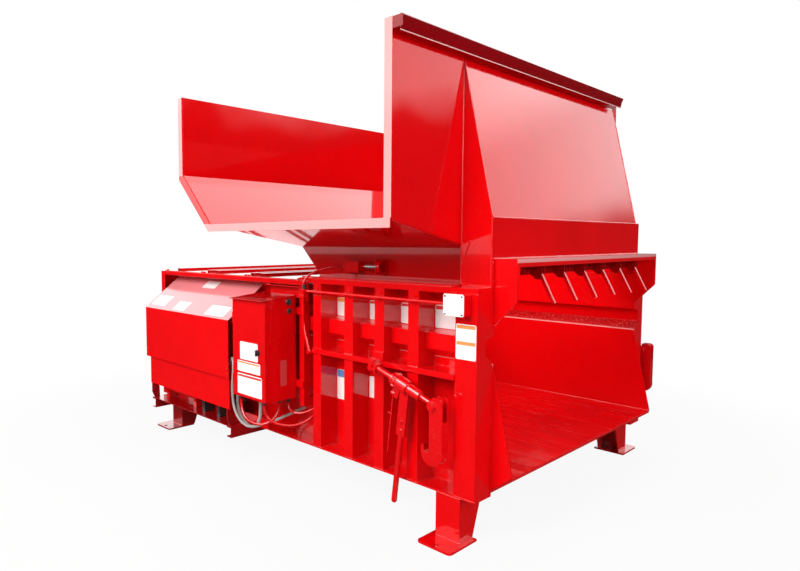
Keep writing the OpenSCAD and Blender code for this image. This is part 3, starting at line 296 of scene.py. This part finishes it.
for hose_name, (hose_r, hose_side, hose_points) in hose_routes.items():
    hose_path = smooth_path(place(hose_points), path_steps)
    hose_verts, hose_faces = skin(swept(hose_path, hose_r * mm, hose_side, cord_sides))
    grey_cable = hose_name == "motor_cable"
    hose = new_piece("sheath_" + hose_name, hose_verts, hose_faces,
                     sheath_grey if grey_cable else hose_paint, "frame",
                     "cable_grey" if grey_cable else "hose_red")
    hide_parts(hose_name)

# A second grey cable comes down beside the skirt and runs on under the loops.
second_path = smooth_path(place([
    (-1668, -975, 330), (-1640, -978, 350), (-1610, -996, 385), (-1582, -1010, 410),
    (-1558, -1018, 416), (-1540, -1026, 402), (-1531, -1030, 370), (-1534, -1030, 330),
    (-1540, -1030, 290), (-1543, -1030, 247), (-1543, -1028, 196), (-1534, -1028, 149),
    (-1506, -1034, 112), (-1460, -1040, 80), (-1393, -1040, 58), (-1345, -1022, 60),
    (-1296, -984, 78), (-1250, -935, 102), (-1212, -884, 128), (-1182, -838, 150),
    (-1165, -797, 162)]), path_steps)
second_r = 8 * mm
second_verts, second_faces = skin(swept(second_path, second_r, (0, 1, 0.3), cord_sides))
second_cable = new_piece("second_cable", second_verts, second_faces, sheath_grey, "frame",
                         "cable_grey")


# Enamel of the welded structure
# Every steel piece is sprayed with the same gloss red. It lies thin on the sheets, which are
# slightly wavy from welding, and it pools and dulls a little in the corners.
structure_red = gloss_enamel("structure_red")
sheet_red = gloss_enamel("sheet_red", patches=0.30, dust=0.05, rough=0.10, peel_mm=0.008,
                         wave_mm=0.9, edge_mm=2.0)
# Painted shade: the control box, its door and the oil tank get a slightly darker red.
case_shade_red = gloss_enamel("case_shade_red", (0.66, 0.0012, 0.0030), patches=0.30, rough=0.14,
                        peel_mm=0.012, wave_mm=0.2, edge_mm=2.0)


def finish_node(node, material):
    """The CAD node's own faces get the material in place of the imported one."""
    nodes[node].data.materials.clear()
    nodes[node].data.materials.append(material)


for node in ("ribs", "posts", "side_rails", "rear_frame", "front_panel", "guide_wings",
             "box_bracket", "photo_eye", "station_box", "conduits", "hook_lugs"):
    finish_node(node, structure_red)
for node in ("top_covers", "hopper_rear", "hopper_chute", "hopper_front", "hopper_far_wall"):
    finish_node(node, sheet_red)
for node in ("control_box", "control_door", "oil_tank"):
    finish_node(node, case_shade_red)


# Hopper rims, hood, canopy and finger bar
# The rims' outer faces carry a painted highlight in pale rose on the operator's side, and the hood
# and the canopy a painted sky reflection where they look up. The finger brackets are painted deep
# red, as painted shade.
bar_front_x = 0.1
bar_foot_z, bar_head_z = 1.394, 1.668
lip_front_x = 1.4025
lip_highlight_z = (1.211, 1.215)


def painted_rim_highlight(tree, position, colour, dull):
    """Painted highlight: pale rose on the faces that look to the operator's side, but for the
    slanted bar.
    """
    spot = axes(tree, position)
    outer = ramp(tree, facing(tree)["Y"], -0.98, -0.90, 0.80, 0.0)
    rear = math_node(tree, "LESS_THAN", spot["X"], bar_front_x)
    high = math_node(tree, "GREATER_THAN", spot["Z"], bar_foot_z)
    low = math_node(tree, "LESS_THAN", spot["Z"], bar_head_z)
    slanted = product(tree, rear, high, low, 0.9)
    share = product(tree, outer, math_node(tree, "SUBTRACT", 1.0, slanted))
    return mixed(tree, share, colour, (0.74, 0.36, 0.35, 1)), 0.0, dull


def painted_sky_reflection(tree, position, colour, dull):
    """Painted sky reflection: pale rose on the faces that look up to the sky."""
    upper = ramp(tree, facing(tree)["Z"], 0.60, 0.75, 0.0, 0.62)
    return mixed(tree, upper, colour, (0.72, 0.36, 0.38, 1)), 0.0, dull


def painted_lip_highlight(tree, position, colour, dull):
    """The painted sky reflection of the top, and a painted highlight over the upper half of the
    canopy's front lip.
    """
    spot = axes(tree, position)
    front = math_node(tree, "GREATER_THAN", spot["X"], lip_front_x)
    upper = ramp(tree, spot["Z"], *lip_highlight_z, 0.0, 0.75)
    sky_reflected, height, dull = painted_sky_reflection(tree, position, colour, dull)
    return mixed(tree, product(tree, front, upper), sky_reflected, (0.76, 0.38, 0.38, 1)), height, dull


finish_node("hopper_rims", gloss_enamel("rim_red", patches=0.30, dust=0.05, rough=0.10,
                                        peel_mm=0.008, wave_mm=0.4, edge_mm=2.0, extra=painted_rim_highlight))
finish_node("hood", gloss_enamel("hood_red", patches=0.30, dust=0.05, rough=0.16, peel_mm=0.008,
                                 wave_mm=0.5, edge_mm=2.0, coat=0.35, extra=painted_sky_reflection))
finish_node("canopy", gloss_enamel("canopy_red", patches=0.30, dust=0.05, peel_mm=0.008,
                                   wave_mm=0.4, edge_mm=2.0, extra=painted_lip_highlight))
# Painted shade: the finger brackets get a deep red for the shade they sit in behind the fingers.
finish_node("finger_brackets", gloss_enamel("bracket_shade_red", (0.30, 0.0006, 0.0015),
                                            (0.2, 0.0004, 0.001)))


# Legs and power unit frame
# Below the power unit the colour is painted darker, as painted shade, and the enamel is duller.
def painted_rear_shade(tree, position, colour, dull):
    """Painted shade behind the chamber: a deeper colour, and duller enamel."""
    rear = ramp(tree, axes(tree, position)["X"], -0.30, -0.20, 0.75, 0.0)
    duller = math_node(tree, "MAXIMUM", dull, product(tree, rear, 0.5))
    return mixed(tree, rear, colour, (0.17, 0.0006, 0.0012, 1)), 0.0, duller


rear_shade_red = gloss_enamel("rear_shade_red", rough=0.14, extra=painted_rear_shade)
finish_node("legs", rear_shade_red)
finish_node("power_unit_frame", rear_shade_red)


# Guide channels
# The channels' lower slopes carry the ram's guide bars, and are built up with rough weld, under
# painted shade with painted glints on its lumps. A painted highlight runs as a pale line along the
# corner below the weld.
def weld_and_painted_light(tree, position, colour, dull):
    """Coarse weld lumps on the slope inside the channel that faces up, with painted shade and
    painted glints on it, and a painted highlight along the corner below.
    """
    z = axes(tree, position)["Z"]
    above = ramp(tree, z, 0.783, 0.787, 0.0, 1.0)
    below = ramp(tree, z, 0.822, 0.826, 1.0, 0.0)
    upwards = math_node(tree, "GREATER_THAN", facing(tree)["Z"], 0.3)
    share = product(tree, above, below, upwards)
    lumps = noise(tree, position, scale=110.0, detail=4.0, roughness=0.65)
    rubbed = product(tree, ramp(tree, lumps, 0.58, 0.66, 0.0, 0.6), share)
    # Painted shade darkens the slope, and painted glints light the lump tops.
    darker = mixed(tree, product(tree, share, 0.6), colour, (0.34, 0.0006, 0.0015, 1))
    glinted = mixed(tree, rubbed, darker, (0.75, 0.22, 0.20, 1))
    # Painted highlight: a pale line along the corner below the slope.
    corner = product(tree, ramp(tree, z, 0.776, 0.778, 0.0, 0.75),
                     ramp(tree, z, 0.782, 0.784, 1.0, 0.0))
    highlighted = mixed(tree, corner, glinted, (0.80, 0.42, 0.40, 1))
    return highlighted, product(tree, lumps, share, 6.0), dull


finish_node("side_walls", gloss_enamel("channel_red", extra=weld_and_painted_light))


# Chamber floor and ram
# The floor is a thick plate that the ram slides over. The loads that pass have scuffed its
# enamel along the packing direction, as they have the ram's face and roof.
def scuffed(tree, position, colour, dull):
    """Scratches drawn out along X, as pale rubbed lines over darker smears."""
    along = add(tree, "ShaderNodeMapping", {"Vector": position, "Scale": (1.2, 26.0, 26.0)})
    lines = noise(tree, along.outputs[0], scale=2.4, detail=6.0, roughness=0.72)
    broad = add(tree, "ShaderNodeMapping", {"Vector": position, "Scale": (2.0, 7.0, 7.0)})
    smears = noise(tree, broad.outputs[0], scale=1.6, detail=3.0)
    line_share = ramp(tree, lines, 0.56, 0.74, 0.0, 0.40)
    smear_share = ramp(tree, smears, 0.45, 0.7, 0.0, 0.45)
    darker = mixed(tree, smear_share, colour, (0.36, 0.004, 0.007, 1))
    rubbed = mixed(tree, line_share, darker, (0.62, 0.10, 0.10, 1))
    duller = math_node(tree, "ADD", dull, product(tree, line_share, 0.9))
    return rubbed, product(tree, lines, 0.12), duller


scuffed_red = gloss_enamel("scuffed_red", patches=0.4, dust=0.12, rough=0.24, peel_mm=0.02,
                           wave_mm=0.6, edge_mm=2.0, extra=scuffed)
finish_node("floor_plate", scuffed_red)
finish_node("ram", scuffed_red)


# Hydraulic cylinder
# A drawn barrel in satin black with a hard chromed rod, pinned between the rear frame and the
# ram. It is hidden under the covers, and oily dust dulls the barrel as it does the motor.
satin_black = gloss_enamel("satin_black", (0.022, 0.022, 0.024), (0.012, 0.012, 0.013),
                           patches=0.6, dust=0.5, rough=0.38, peel_mm=0.03, wave_mm=0.1,
                           edge_mm=1.5, shine=0.5, coat=0.1)
for node in ("cylinder_barrel", "motor_pump"):
    finish_node(node, satin_black)
chrome = bpy.data.materials.new("rod_chrome")
chrome.use_nodes = True
chrome_tree = chrome.node_tree
chrome_shader = chrome_tree.nodes["Principled BSDF"]
chrome_place = add(chrome_tree, "ShaderNodeTexCoord").outputs["Object"]
chrome_rings = add(chrome_tree, "ShaderNodeMapping",
                   {"Vector": chrome_place, "Scale": (60.0, 3.0, 3.0)})
chrome_noise = noise(chrome_tree, chrome_rings.outputs[0], scale=6.0, detail=3.0)
chrome_tree.links.new(ramp(chrome_tree, chrome_noise, 0.3, 0.7, 0.10, 0.22),
                      chrome_shader.inputs["Roughness"])
chrome_tree.links.new(
    mixed(chrome_tree, chrome_noise, (0.70, 0.70, 0.71, 1), (0.80, 0.80, 0.82, 1)),
    chrome_shader.inputs["Base Color"])
chrome_shader.inputs["Metallic"].default_value = 1.0
finish_node("cylinder_rod", chrome)


# Black plastic and switchgear
# Glands, the door latch and the selector knob are moulded nylon with a fine grain. The equipment
# inside the control box is grey moulded switchgear on a galvanised plate.
moulded_black = gloss_enamel("moulded_black", (0.018, 0.018, 0.020), (0.010, 0.010, 0.011),
                             patches=0.4, dust=0.3, rough=0.45, peel_mm=0.05, wave_mm=0.0,
                             edge_mm=0.6, shine=0.5, coat=0.0)
switch_grey = gloss_enamel("switch_grey", (0.36, 0.37, 0.38), (0.26, 0.27, 0.28), patches=0.5,
                           dust=0.1, rough=0.5, peel_mm=0.03, wave_mm=0.0, edge_mm=0.6,
                           shine=0.4, coat=0.0)
for node in ("cable_glands", "door_latch", "selector_knob"):
    finish_node(node, moulded_black)
finish_node("contactor_plate", switch_grey)


# Retainer fingers and turnbuckles
# Bars, screws, sleeves, handles and hooks are forged or turned and then sprayed, so the coat is
# thicker and a little lumpy on them.
forged_red = gloss_enamel("forged_red", (0.66, 0.0015, 0.0035), (0.44, 0.0010, 0.0020),
                          patches=0.5, dust=0.15, rough=0.20, peel_mm=0.035, wave_mm=0.3,
                          edge_mm=1.5)
for i in range(1, 7):
    finish_node("finger_%d" % i, forged_red)
for side in ("near_", "far_"):
    for part in ("rear_screw", "thrust_ring", "sleeve", "front_screw", "handle", "pawl", "hook"):
        finish_node(side + part, forged_red)


# Weld beads
# Every joint of the structure is welded by hand. Each bead lies in its corner, rippled across its
# length and a little uneven along it, under the same coat of enamel.
wall_y = 768
rib_y = 887
rib_xs = (-331, -534, -737, -969)
bead_step = 2.6
ripple_pitch = 7.3


def weld_bead(points, radius):
    """A rippled bead along straight runs between points in millimetres, as tube rings."""
    corners = np.asarray(points, float)
    runs = np.diff(corners, axis=0)
    lengths = np.linalg.norm(runs, axis=1)
    counts = np.maximum(2, np.round(lengths / bead_step).astype(int))
    path = np.vstack([a + run * np.linspace(0, 1, n, endpoint=False)[:, None]
                      for a, run, n in zip(corners, runs, counts)] + [corners[-1:]])
    travel = np.concatenate([[0], np.cumsum(np.linalg.norm(np.diff(path, axis=0), axis=1))])
    start = corners[0].sum()
    ripple = 0.16 * np.sin(2 * np.pi * travel / ripple_pitch + start)
    uneven = 0.10 * np.sin(travel / 23.0 + 1.7 * start) + 0.08 * np.sin(travel / 61.0 + start)
    ends = np.clip(np.minimum(travel, travel[-1] - travel) / 4.0, 0.35, 1.0)
    side = (0.31, 0.53, 0.79) if abs(runs[0, 2]) < 0.9 * lengths[0] else (0.9, 0.4, 0.1)
    return swept(place(path), radius * mm * (1 + ripple + uneven) * ends, side, 6)


def joined(parts):
    """Vertices and faces of several parts as one mesh."""
    verts, faces, base = [], [], 0
    for part_verts, part_faces in parts:
        verts.append(part_verts)
        faces += [[base + k for k in face] for face in part_faces]
        base += len(part_verts)
    return np.vstack(verts), faces


def welds(name, lines, radius):
    """One piece with a bead along each line."""
    verts, faces = joined([skin(weld_bead(line, radius)) for line in lines])
    new_piece(name, verts, faces, structure_red, "frame", "red_paint")


def wall_line(x, s):
    """Up the side wall, over its guide channel, at one x on side s."""
    return [(x, s * wall_y, 10), (x, s * wall_y, 573), (x, s * 830, 616), (x, s * 830, 689),
            (x, s * wall_y, 702), (x, s * wall_y, 875)]


rib_edges = [x + d for x in rib_xs for d in (-30, 30)] + [-107]
bays = [(-939, -767), (-707, -564), (-504, -361), (-301, -107)]
for side_name, s in (("near", -1), ("far", 1)):
    rib_lines = [wall_line(x, s) for x in rib_edges]
    rib_lines += [[(x, s * 885, 8), (x, s * 770, 8)] for x in rib_edges]
    rib_lines += [[(x - 30, s * rib_y, 8), (x + 30, s * rib_y, 8)] for x in rib_xs]
    rib_lines += [[(-107, s * rib_y, z), (0, s * rib_y, z)] for z in (8, 877)]
    welds("welds_ribs_" + side_name, rib_lines, 3.2)
    rail_lines = [[(a, s * wall_y, z), (b, s * wall_y, z)] for z in (8, 534) for a, b in bays]
    rail_lines += [[(x - 30, s * rib_y, 534), (x + 30, s * rib_y, 534)]
                   for x in (-331, -737, -969)]
    rail_lines += [[(-1390, s * wall_y, 8), (-999, s * wall_y, 8)]]
    for x in (-133, -2433):
        rail_lines += [[(x - 62, s * rib_y, -1), (x + 62, s * rib_y, -1)],
                       [(x - 62, s * rib_y, -195), (x + 62, s * rib_y, -195)],
                       [(x - 62, s * 885, -195), (x - 62, s * 788, -195)],
                       [(x + 62, s * 885, -195), (x + 62, s * 788, -195)]]
    welds("welds_rails_" + side_name, rail_lines, 3.6)
    welds("welds_channel_" + side_name, [
        [(-1100, s * 762, 109), (100, s * 762, 109)],
        [(0.5, s * wall_y, 30), (0.5, s * wall_y, 568)],
        [(0.5, s * 778, 1012), (0.5, s * 778, 880)]], 2.6)
    welds("welds_rear_" + side_name, [
        [(-2629, s * 842, 4), (-2629, s * 842, 880)],
        [(-2584, s * rib_y, 60), (-1392, s * rib_y, 60)],
        [(-2584, s * rib_y, 4), (-2584, s * rib_y, 60)],
        [(-2584, s * 882, 862), (-1050, s * 882, 862)]], 3.0)
welds("welds_hopper", [
    [(-1125, -850, 902), (-160, -850, 902)], [(-1125, -705, 910), (-160, -705, 910)],
    [(-157, -705, 912), (-157, -705, 1066), (-157, -1240, 1179)],
    [(-1129, -700, 902), (-1129, 782, 902)], [(-157, 784, 905), (-157, 784, 1930)],
    [(-1684, 784, 1466), (-1684, 784, 1892)]], 3.0)
welds("welds_header", [
    [(-152, -785, 905), (-152, -785, 1870)], [(-152, -785, 1872), (0, -785, 1197)],
    [(-152, 735, 1872), (0, 735, 1197)], [(-3, -785, 905), (-3, -785, 1192)],
    [(-107, -785.5, 1100), (-150, -785.5, 993)], [(0, -783, 1196), (0, 783, 1196)],
    [(0.5, -776, 1024), (0.5, 776, 1024)], [(-150, -785, 903), (-8, -785, 903)]], 3.0)


# Folded lip under the front rim
# The rim's outer edge is a fold that leans out over the front wall, its face looking down. The fold
# and its end cap are painted dark, as painted shade against the panel, with a pale painted
# highlight along the fold's lower edge.
def plate_box(at, across, up, out, width, height, lift, thick, corner):
    """A thin plate with cut corners, standing on a face: its corner place and three directions."""
    c = min(corner, 0.3 * width, 0.3 * height)
    outline = np.array([(c, 0), (width - c, 0), (width, c), (width, height - c),
                        (width - c, height), (c, height), (0, height - c), (0, c)])
    base = np.asarray(at, float) + outline[:, :1] * across + outline[:, 1:] * up
    verts = np.vstack([base + out * lift, base + out * (lift + thick)])
    n = len(outline)
    faces = [list(range(n))[::-1], [n + k for k in range(n)]]
    faces += [[k, (k + 1) % n, n + (k + 1) % n, n + k] for k in range(n)]
    return place(verts), faces


east, north, high_up = np.array((1.0, 0, 0)), np.array((0, 1.0, 0)), np.array((0, 0, 1.0))
# Painted shade on the folded lip and its end cap; a painted highlight along the lip's lower edge.
rim_painted_shade = gloss_enamel("rim_painted_shade", (0.24, 0.0008, 0.0030), (0.16, 0.0006, 0.0015), patches=0.3,
                        dust=0.05, rough=0.14, wave_mm=0.3, edge_mm=2.0)
rim_painted_highlight = gloss_enamel("rim_painted_highlight", (0.80, 0.36, 0.35), (0.6, 0.2, 0.2), patches=0.3, dust=0.05,
                        rough=0.20, wave_mm=0.3, edge_mm=2.0)
lip_outline = [(-113.5, 1879), (-107, 1909), (-98, 1928), (-100, 1932), (-113.5, 1936)]
lip_ends = [place([(x, y, z) for x, z in lip_outline]) for y in (-1253, 756)]
lip_n = len(lip_outline)
new_piece("rim_lip", np.vstack(lip_ends),
          [list(range(lip_n)), [lip_n + k for k in range(lip_n)][::-1]]
          + [[k, lip_n + k, lip_n + (k + 1) % lip_n, (k + 1) % lip_n] for k in range(lip_n)],
          rim_painted_shade, "frame", "red_paint", smooth=False)
cap = plate_box((-151.5, -1253, 1889), east, high_up, -north, 50, 44, lift=0.0, thick=1.0, corner=2)
new_piece("rim_cap", *cap, rim_painted_shade, "frame", "red_paint", smooth=False)
# Painted highlight: a thin pale strip along the lip's lower edge.
edge = plate_box((-113.5, -1252, 1875), north, high_up, east, 2006, 4, lift=0.2, thick=2.0,
                 corner=0.5)
new_piece("rim_edge_highlight", *edge, rim_painted_highlight, "frame", "red_paint", smooth=False)


# Blank plates
# Pale vinyl plates, bare but for plain colour bands, stuck to the bays, the post, the hood, the
# control box and its door. The station box has a pale cover.
def vinyl(name, colour):
    """Smooth vinyl with a soft sheen, faintly grubby."""
    material = bpy.data.materials.new(name)
    material.use_nodes = True
    tree = material.node_tree
    grime = noise(tree, add(tree, "ShaderNodeTexCoord").outputs["Object"], scale=18.0, detail=4.0)
    share = ramp(tree, grime, 0.45, 0.75, 0.0, 0.25)
    shader = tree.nodes["Principled BSDF"]
    tree.links.new(mixed(tree, share, (*colour, 1), (*(0.72 * c for c in colour), 1)),
                   shader.inputs["Base Color"])
    shader.inputs["Roughness"].default_value = 0.32
    return material


vinyls = {name: vinyl("vinyl_" + name, colour) for name, colour in (
    ("white", (0.80, 0.79, 0.78)), ("orange", (0.80, 0.27, 0.07)), ("red", (0.66, 0.035, 0.035)),
    ("blue", (0.08, 0.24, 0.55)), ("rose", (0.58, 0.05, 0.05)))}
plate_lift, plate_thick, plate_corner = 0.1, 0.5, 5
door_y = -1098
hood_top = np.array((0, -783.0, 845.0))
hood_run, hood_drop = 267, 203
down_hood = np.array((0, -hood_run, -hood_drop)) / math.hypot(hood_run, hood_drop)
off_hood = np.array((0, -hood_drop, hood_run)) / math.hypot(hood_run, hood_drop)


def plates(name, colour, boxes, body="frame"):
    """One piece from boxes of one colour that ride together."""
    new_piece(name, *joined(boxes), vinyls[colour], body, "red_paint", smooth=False)


def side_plate(x0, x1, z0, z1, y, lift=plate_lift, thick=plate_thick, corner=plate_corner):
    return plate_box((x0, y, z0), east, high_up, -north, x1 - x0, z1 - z0, lift, thick, corner)


def band(x0, x1, z0, z1, y):
    """A thin colour band on top of a plate."""
    return side_plate(x0, x1, z0, z1, y, lift=plate_lift + plate_thick, thick=0.2, corner=1)


def hood_plate(x0, x1, s0, s1):
    """A plate on the hood's slope, s0 to s1 down from its top edge."""
    return plate_box(hood_top + x0 * east + down_hood * s1, east, -down_hood, off_hood,
                     x1 - x0, s1 - s0, plate_lift, plate_thick, plate_corner)


plates("plates_white", "white", [side_plate(*p, -wall_y) for p in (
    (-936, -782, 704, 800), (-703, -578, 704, 800), (-501, -374, 706, 803), (-297, -172, 704, 808),
    (-936, -804, 254, 414), (-703, -600, 304, 414))]
    + [side_plate(-103, -4, 603, 752, -rib_y)]
    + [hood_plate(*p) for p in ((-2530, -2345, 205, 300), (-2215, -2075, 238, 318),
                                (-2140, -1990, 22, 92), (-1835, -1625, 232, 318))])
plates("plates_orange", "orange", [band(*p) for p in (
    (-934, -786, 778, 798, -wall_y), (-99, -8, 733, 748, -rib_y), (-99, -8, 664, 679, -rib_y))])
plates("plates_red", "red", [band(*p, -wall_y) for p in (
    (-701, -582, 784, 797), (-499, -378, 787, 800), (-295, -176, 788, 805))])
plates("plate_sprayed", "rose", [plate_box((-1143, -995, 318), north, high_up, east, 44, 140,
                                          plate_lift, plate_thick, plate_corner)])
plates("plates_blue", "blue", [band(-934, -808, 374, 412, -wall_y)])
plates("station_cover", "white", [side_plate(-131, -30, 788, 880, -940, thick=1.2, corner=6)])
plates("door_plates_white", "white", [side_plate(*p, door_y) for p in (
    (-1366, -1206, 452, 550), (-1392, -1186, 384, 444), (-1392, -1172, 258, 372))], "door")
plates("door_plates_orange", "orange", [band(-1388, -1190, 431, 439, door_y)], "door")
plates("door_plates_red", "red", [band(-1388, -1176, 355, 366, door_y)], "door")


# Small fittings
# Cover screws, a button cap, the photo-eye's metal barrel, the selector's bright ring and the
# hoses' ferrules are separate turned pieces on top of the sprayed ones.
def turned(name, stations, material, slot_name="red_paint", side=(0, 0, 1), sides=28):
    """A turned piece: places along its axis, each with a radius, in millimetres."""
    path = place([s[0] for s in stations])
    radii = [s[1] * mm for s in stations]
    verts, faces = skin(swept(path, radii, side, sides))
    new_piece(name, verts, faces, material, "frame", slot_name, smooth=False)


bright = gloss_enamel("bright_steel", (0.55, 0.55, 0.56), (0.35, 0.35, 0.36), patches=0.5,
                      dust=0.2, rough=0.25, wave_mm=0.0, edge_mm=0.4, shine=0.5, coat=0.0)
bright.node_tree.nodes["Principled BSDF"].inputs["Metallic"].default_value = 1.0
turned("sensor_barrel", [((x, -730, 966), r) for x, r in (
    (-767, 9), (-765, 15.6), (-753, 15.6), (-752, 20.6), (-691, 20.6), (-690, 24.6), (-673, 24.6),
    (-672.2, 20))], bright)
turned("selector_ring", [((x, -940, 771), r) for x, r in (
    (-1143, 17.5), (-1138.5, 17.5), (-1137.8, 16.5))], bright)
turned("button_cap", [((x, -940, 723), r) for x, r in ((-1133, 14), (-1128, 14), (-1126.5, 12))],
       moulded_black, "black_plastic")
for k, (x, z) in enumerate([(-122, 797), (-122, 871), (-39, 797), (-39, 871)]):
    turned("cover_screw_%d" % k, [((x, y, z), r) for y, r in (
        (-942.5, 4.6), (-943.6, 4.6), (-944.4, 3.2))], bright, sides=16)
for hose_name, (hose_r, _, hose_points) in hose_routes.items():
    ends = np.array(hose_points, float)[[0, 1, -1, -2]].reshape(2, 2, 3)
    for tag, (at, inner) in zip("ab", ends):
        along = (inner - at) / np.linalg.norm(inner - at)
        turned("ferrule_%s_%s" % (hose_name, tag),
               [(at, hose_r + 2.2), (at + along * 2.5, hose_r + 2.6),
                (at + along * 7, hose_r + 2.6), (at + along * 8, hose_r + 1.0)],
               forged_red, side=(0.31, 0.52, 0.79), sides=20)


# Studio
# A plain pale floor under a white surround. Soft boxes and an even sky light the machine. The
# surround shows white to the camera; in the gloss it is dark near the horizon and bright above.
def stage_light(name, at, towards, size, watts, mirrored=True):
    """A square soft box with its face towards a point."""
    lamp = bpy.data.objects.new(name, bpy.data.lights.new(name, "AREA"))
    lamp.data.shape = "SQUARE"
    lamp.data.size = size
    lamp.data.energy = watts
    lamp.location = at
    lamp.visible_glossy = mirrored
    lamp.rotation_mode = "QUATERNION"
    lamp.rotation_quaternion = (Vector(towards) - Vector(at)).to_track_quat("-Z", "Y")
    bpy.context.scene.collection.objects.link(lamp)


stage_light("key_box", (0.4, -6.5, 4.6), (0.0, 0.0, 0.9), 4.0, 600)
stage_light("front_box", (6.8, -0.8, 3.4), (0.0, 0.0, 0.9), 3.5, 235)
stage_light("top_box", (-0.5, 0.3, 7.0), (0.0, 0.0, 1.0), 5.0, 240, mirrored=False)

world = bpy.data.worlds.new("surround")
bpy.context.scene.world = world
world.use_nodes = True
sky = world.node_tree
white = (1, 1, 1, 1)
sky_light = sky.nodes["Background"]
sky_light.inputs["Strength"].default_value = 0.26
sky_light.inputs["Color"].default_value = white
rays = add(sky, "ShaderNodeLightPath")
sky_line = add(sky, "ShaderNodeTexCoord").outputs["Generated"]
sky_way = axes(sky, sky_line)
sky_cloud = noise(sky, sky_line, scale=7.0, detail=2.0)
sky_height = math_node(sky, "ADD", sky_way["Z"], product(
    sky, math_node(sky, "SUBTRACT", sky_cloud, 0.5), 0.20))
eased = {"interpolation_type": "SMOOTHSTEP"}
sky_rise = ramp(sky, sky_height, 0.17, 0.24, 0.02, 1.42, **eased)
sky_crown = ramp(sky, sky_way["Z"], 0.33, 0.43, 0.0, 1.2, **eased)
sky_rear = ramp(sky, sky_way["X"], -0.9, -0.1, 1.0, 0.0, **eased)
sky_low = ramp(sky, sky_way["Z"], 0.15, 0.40, 1.2, 0.0, **eased)
sky_bright = math_node(sky, "ADD", math_node(sky, "ADD", sky_rise, sky_crown),
                       product(sky, sky_rear, sky_low))
sky_gloss = add(sky, "ShaderNodeBackground", {"Color": white, "Strength": sky_bright})
sky_white = add(sky, "ShaderNodeBackground", {"Color": white, "Strength": 1.0})
shiny = math_node(sky, "MAXIMUM", rays.outputs["Is Glossy Ray"],
                  rays.outputs["Is Transmission Ray"])
lit = add(sky, "ShaderNodeMixShader", {0: shiny, 1: sky_light.outputs[0], 2: sky_gloss.outputs[0]})
seen = add(sky, "ShaderNodeMixShader",
           {0: rays.outputs["Is Camera Ray"], 1: lit.outputs[0], 2: sky_white.outputs[0]})
sky.links.new(seen.outputs[0], sky.nodes["World Output"].inputs["Surface"])

# The floor shows a faint shadow near the machine and fades into the white surround.
floor_r = 60.0
floor_sides = 96
ring = np.linspace(0, 2 * np.pi, floor_sides, endpoint=False)
floor_mesh = bpy.data.meshes.new("studio_floor")
floor_mesh.from_pydata(
    np.stack([floor_r * np.cos(ring), floor_r * np.sin(ring), 0 * ring], -1).tolist(), [],
    [list(range(floor_sides))])
studio_floor = bpy.data.objects.new("studio_floor", floor_mesh)
bpy.context.scene.collection.objects.link(studio_floor)
floor_pale = bpy.data.materials.new("floor_pale")
floor_pale.use_nodes = True
floor_tree = floor_pale.node_tree
floor_rays = add(floor_tree, "ShaderNodeLightPath")
floor_matt = floor_tree.nodes["Principled BSDF"]
floor_matt.inputs["Base Color"].default_value = (0.55, 0.54, 0.53, 1)
floor_matt.inputs["Roughness"].default_value = 0.9
floor_matt.inputs["Specular IOR Level"].default_value = 0.1
floor_place = add(floor_tree, "ShaderNodeTexCoord").outputs["Object"]
floor_far = add(floor_tree, "ShaderNodeVectorMath", {0: floor_place}, operation="LENGTH")
floor_white = ramp(floor_tree, floor_far.outputs["Value"], 2.0, 3.6, 0.92, 1.0, **eased)
floor_shiny = math_node(floor_tree, "MAXIMUM", floor_rays.outputs["Is Glossy Ray"],
                        floor_rays.outputs["Is Transmission Ray"])
floor_share = math_node(floor_tree, "ADD", product(
    floor_tree, floor_rays.outputs["Is Camera Ray"], floor_white), floor_shiny)
floor_power = math_node(floor_tree, "SUBTRACT", 1.0, product(floor_tree, floor_shiny, 0.97))
floor_glow = add(floor_tree, "ShaderNodeEmission", {"Strength": floor_power})
floor_mix = add(floor_tree, "ShaderNodeMixShader",
                {0: floor_share, 1: floor_matt.outputs[0], 2: floor_glow.outputs[0]})
floor_tree.links.new(floor_mix.outputs[0], floor_tree.nodes["Material Output"].inputs["Surface"])
floor_mesh.materials.append(floor_pale)

bpy.context.scene.view_settings.view_transform = "Standard"
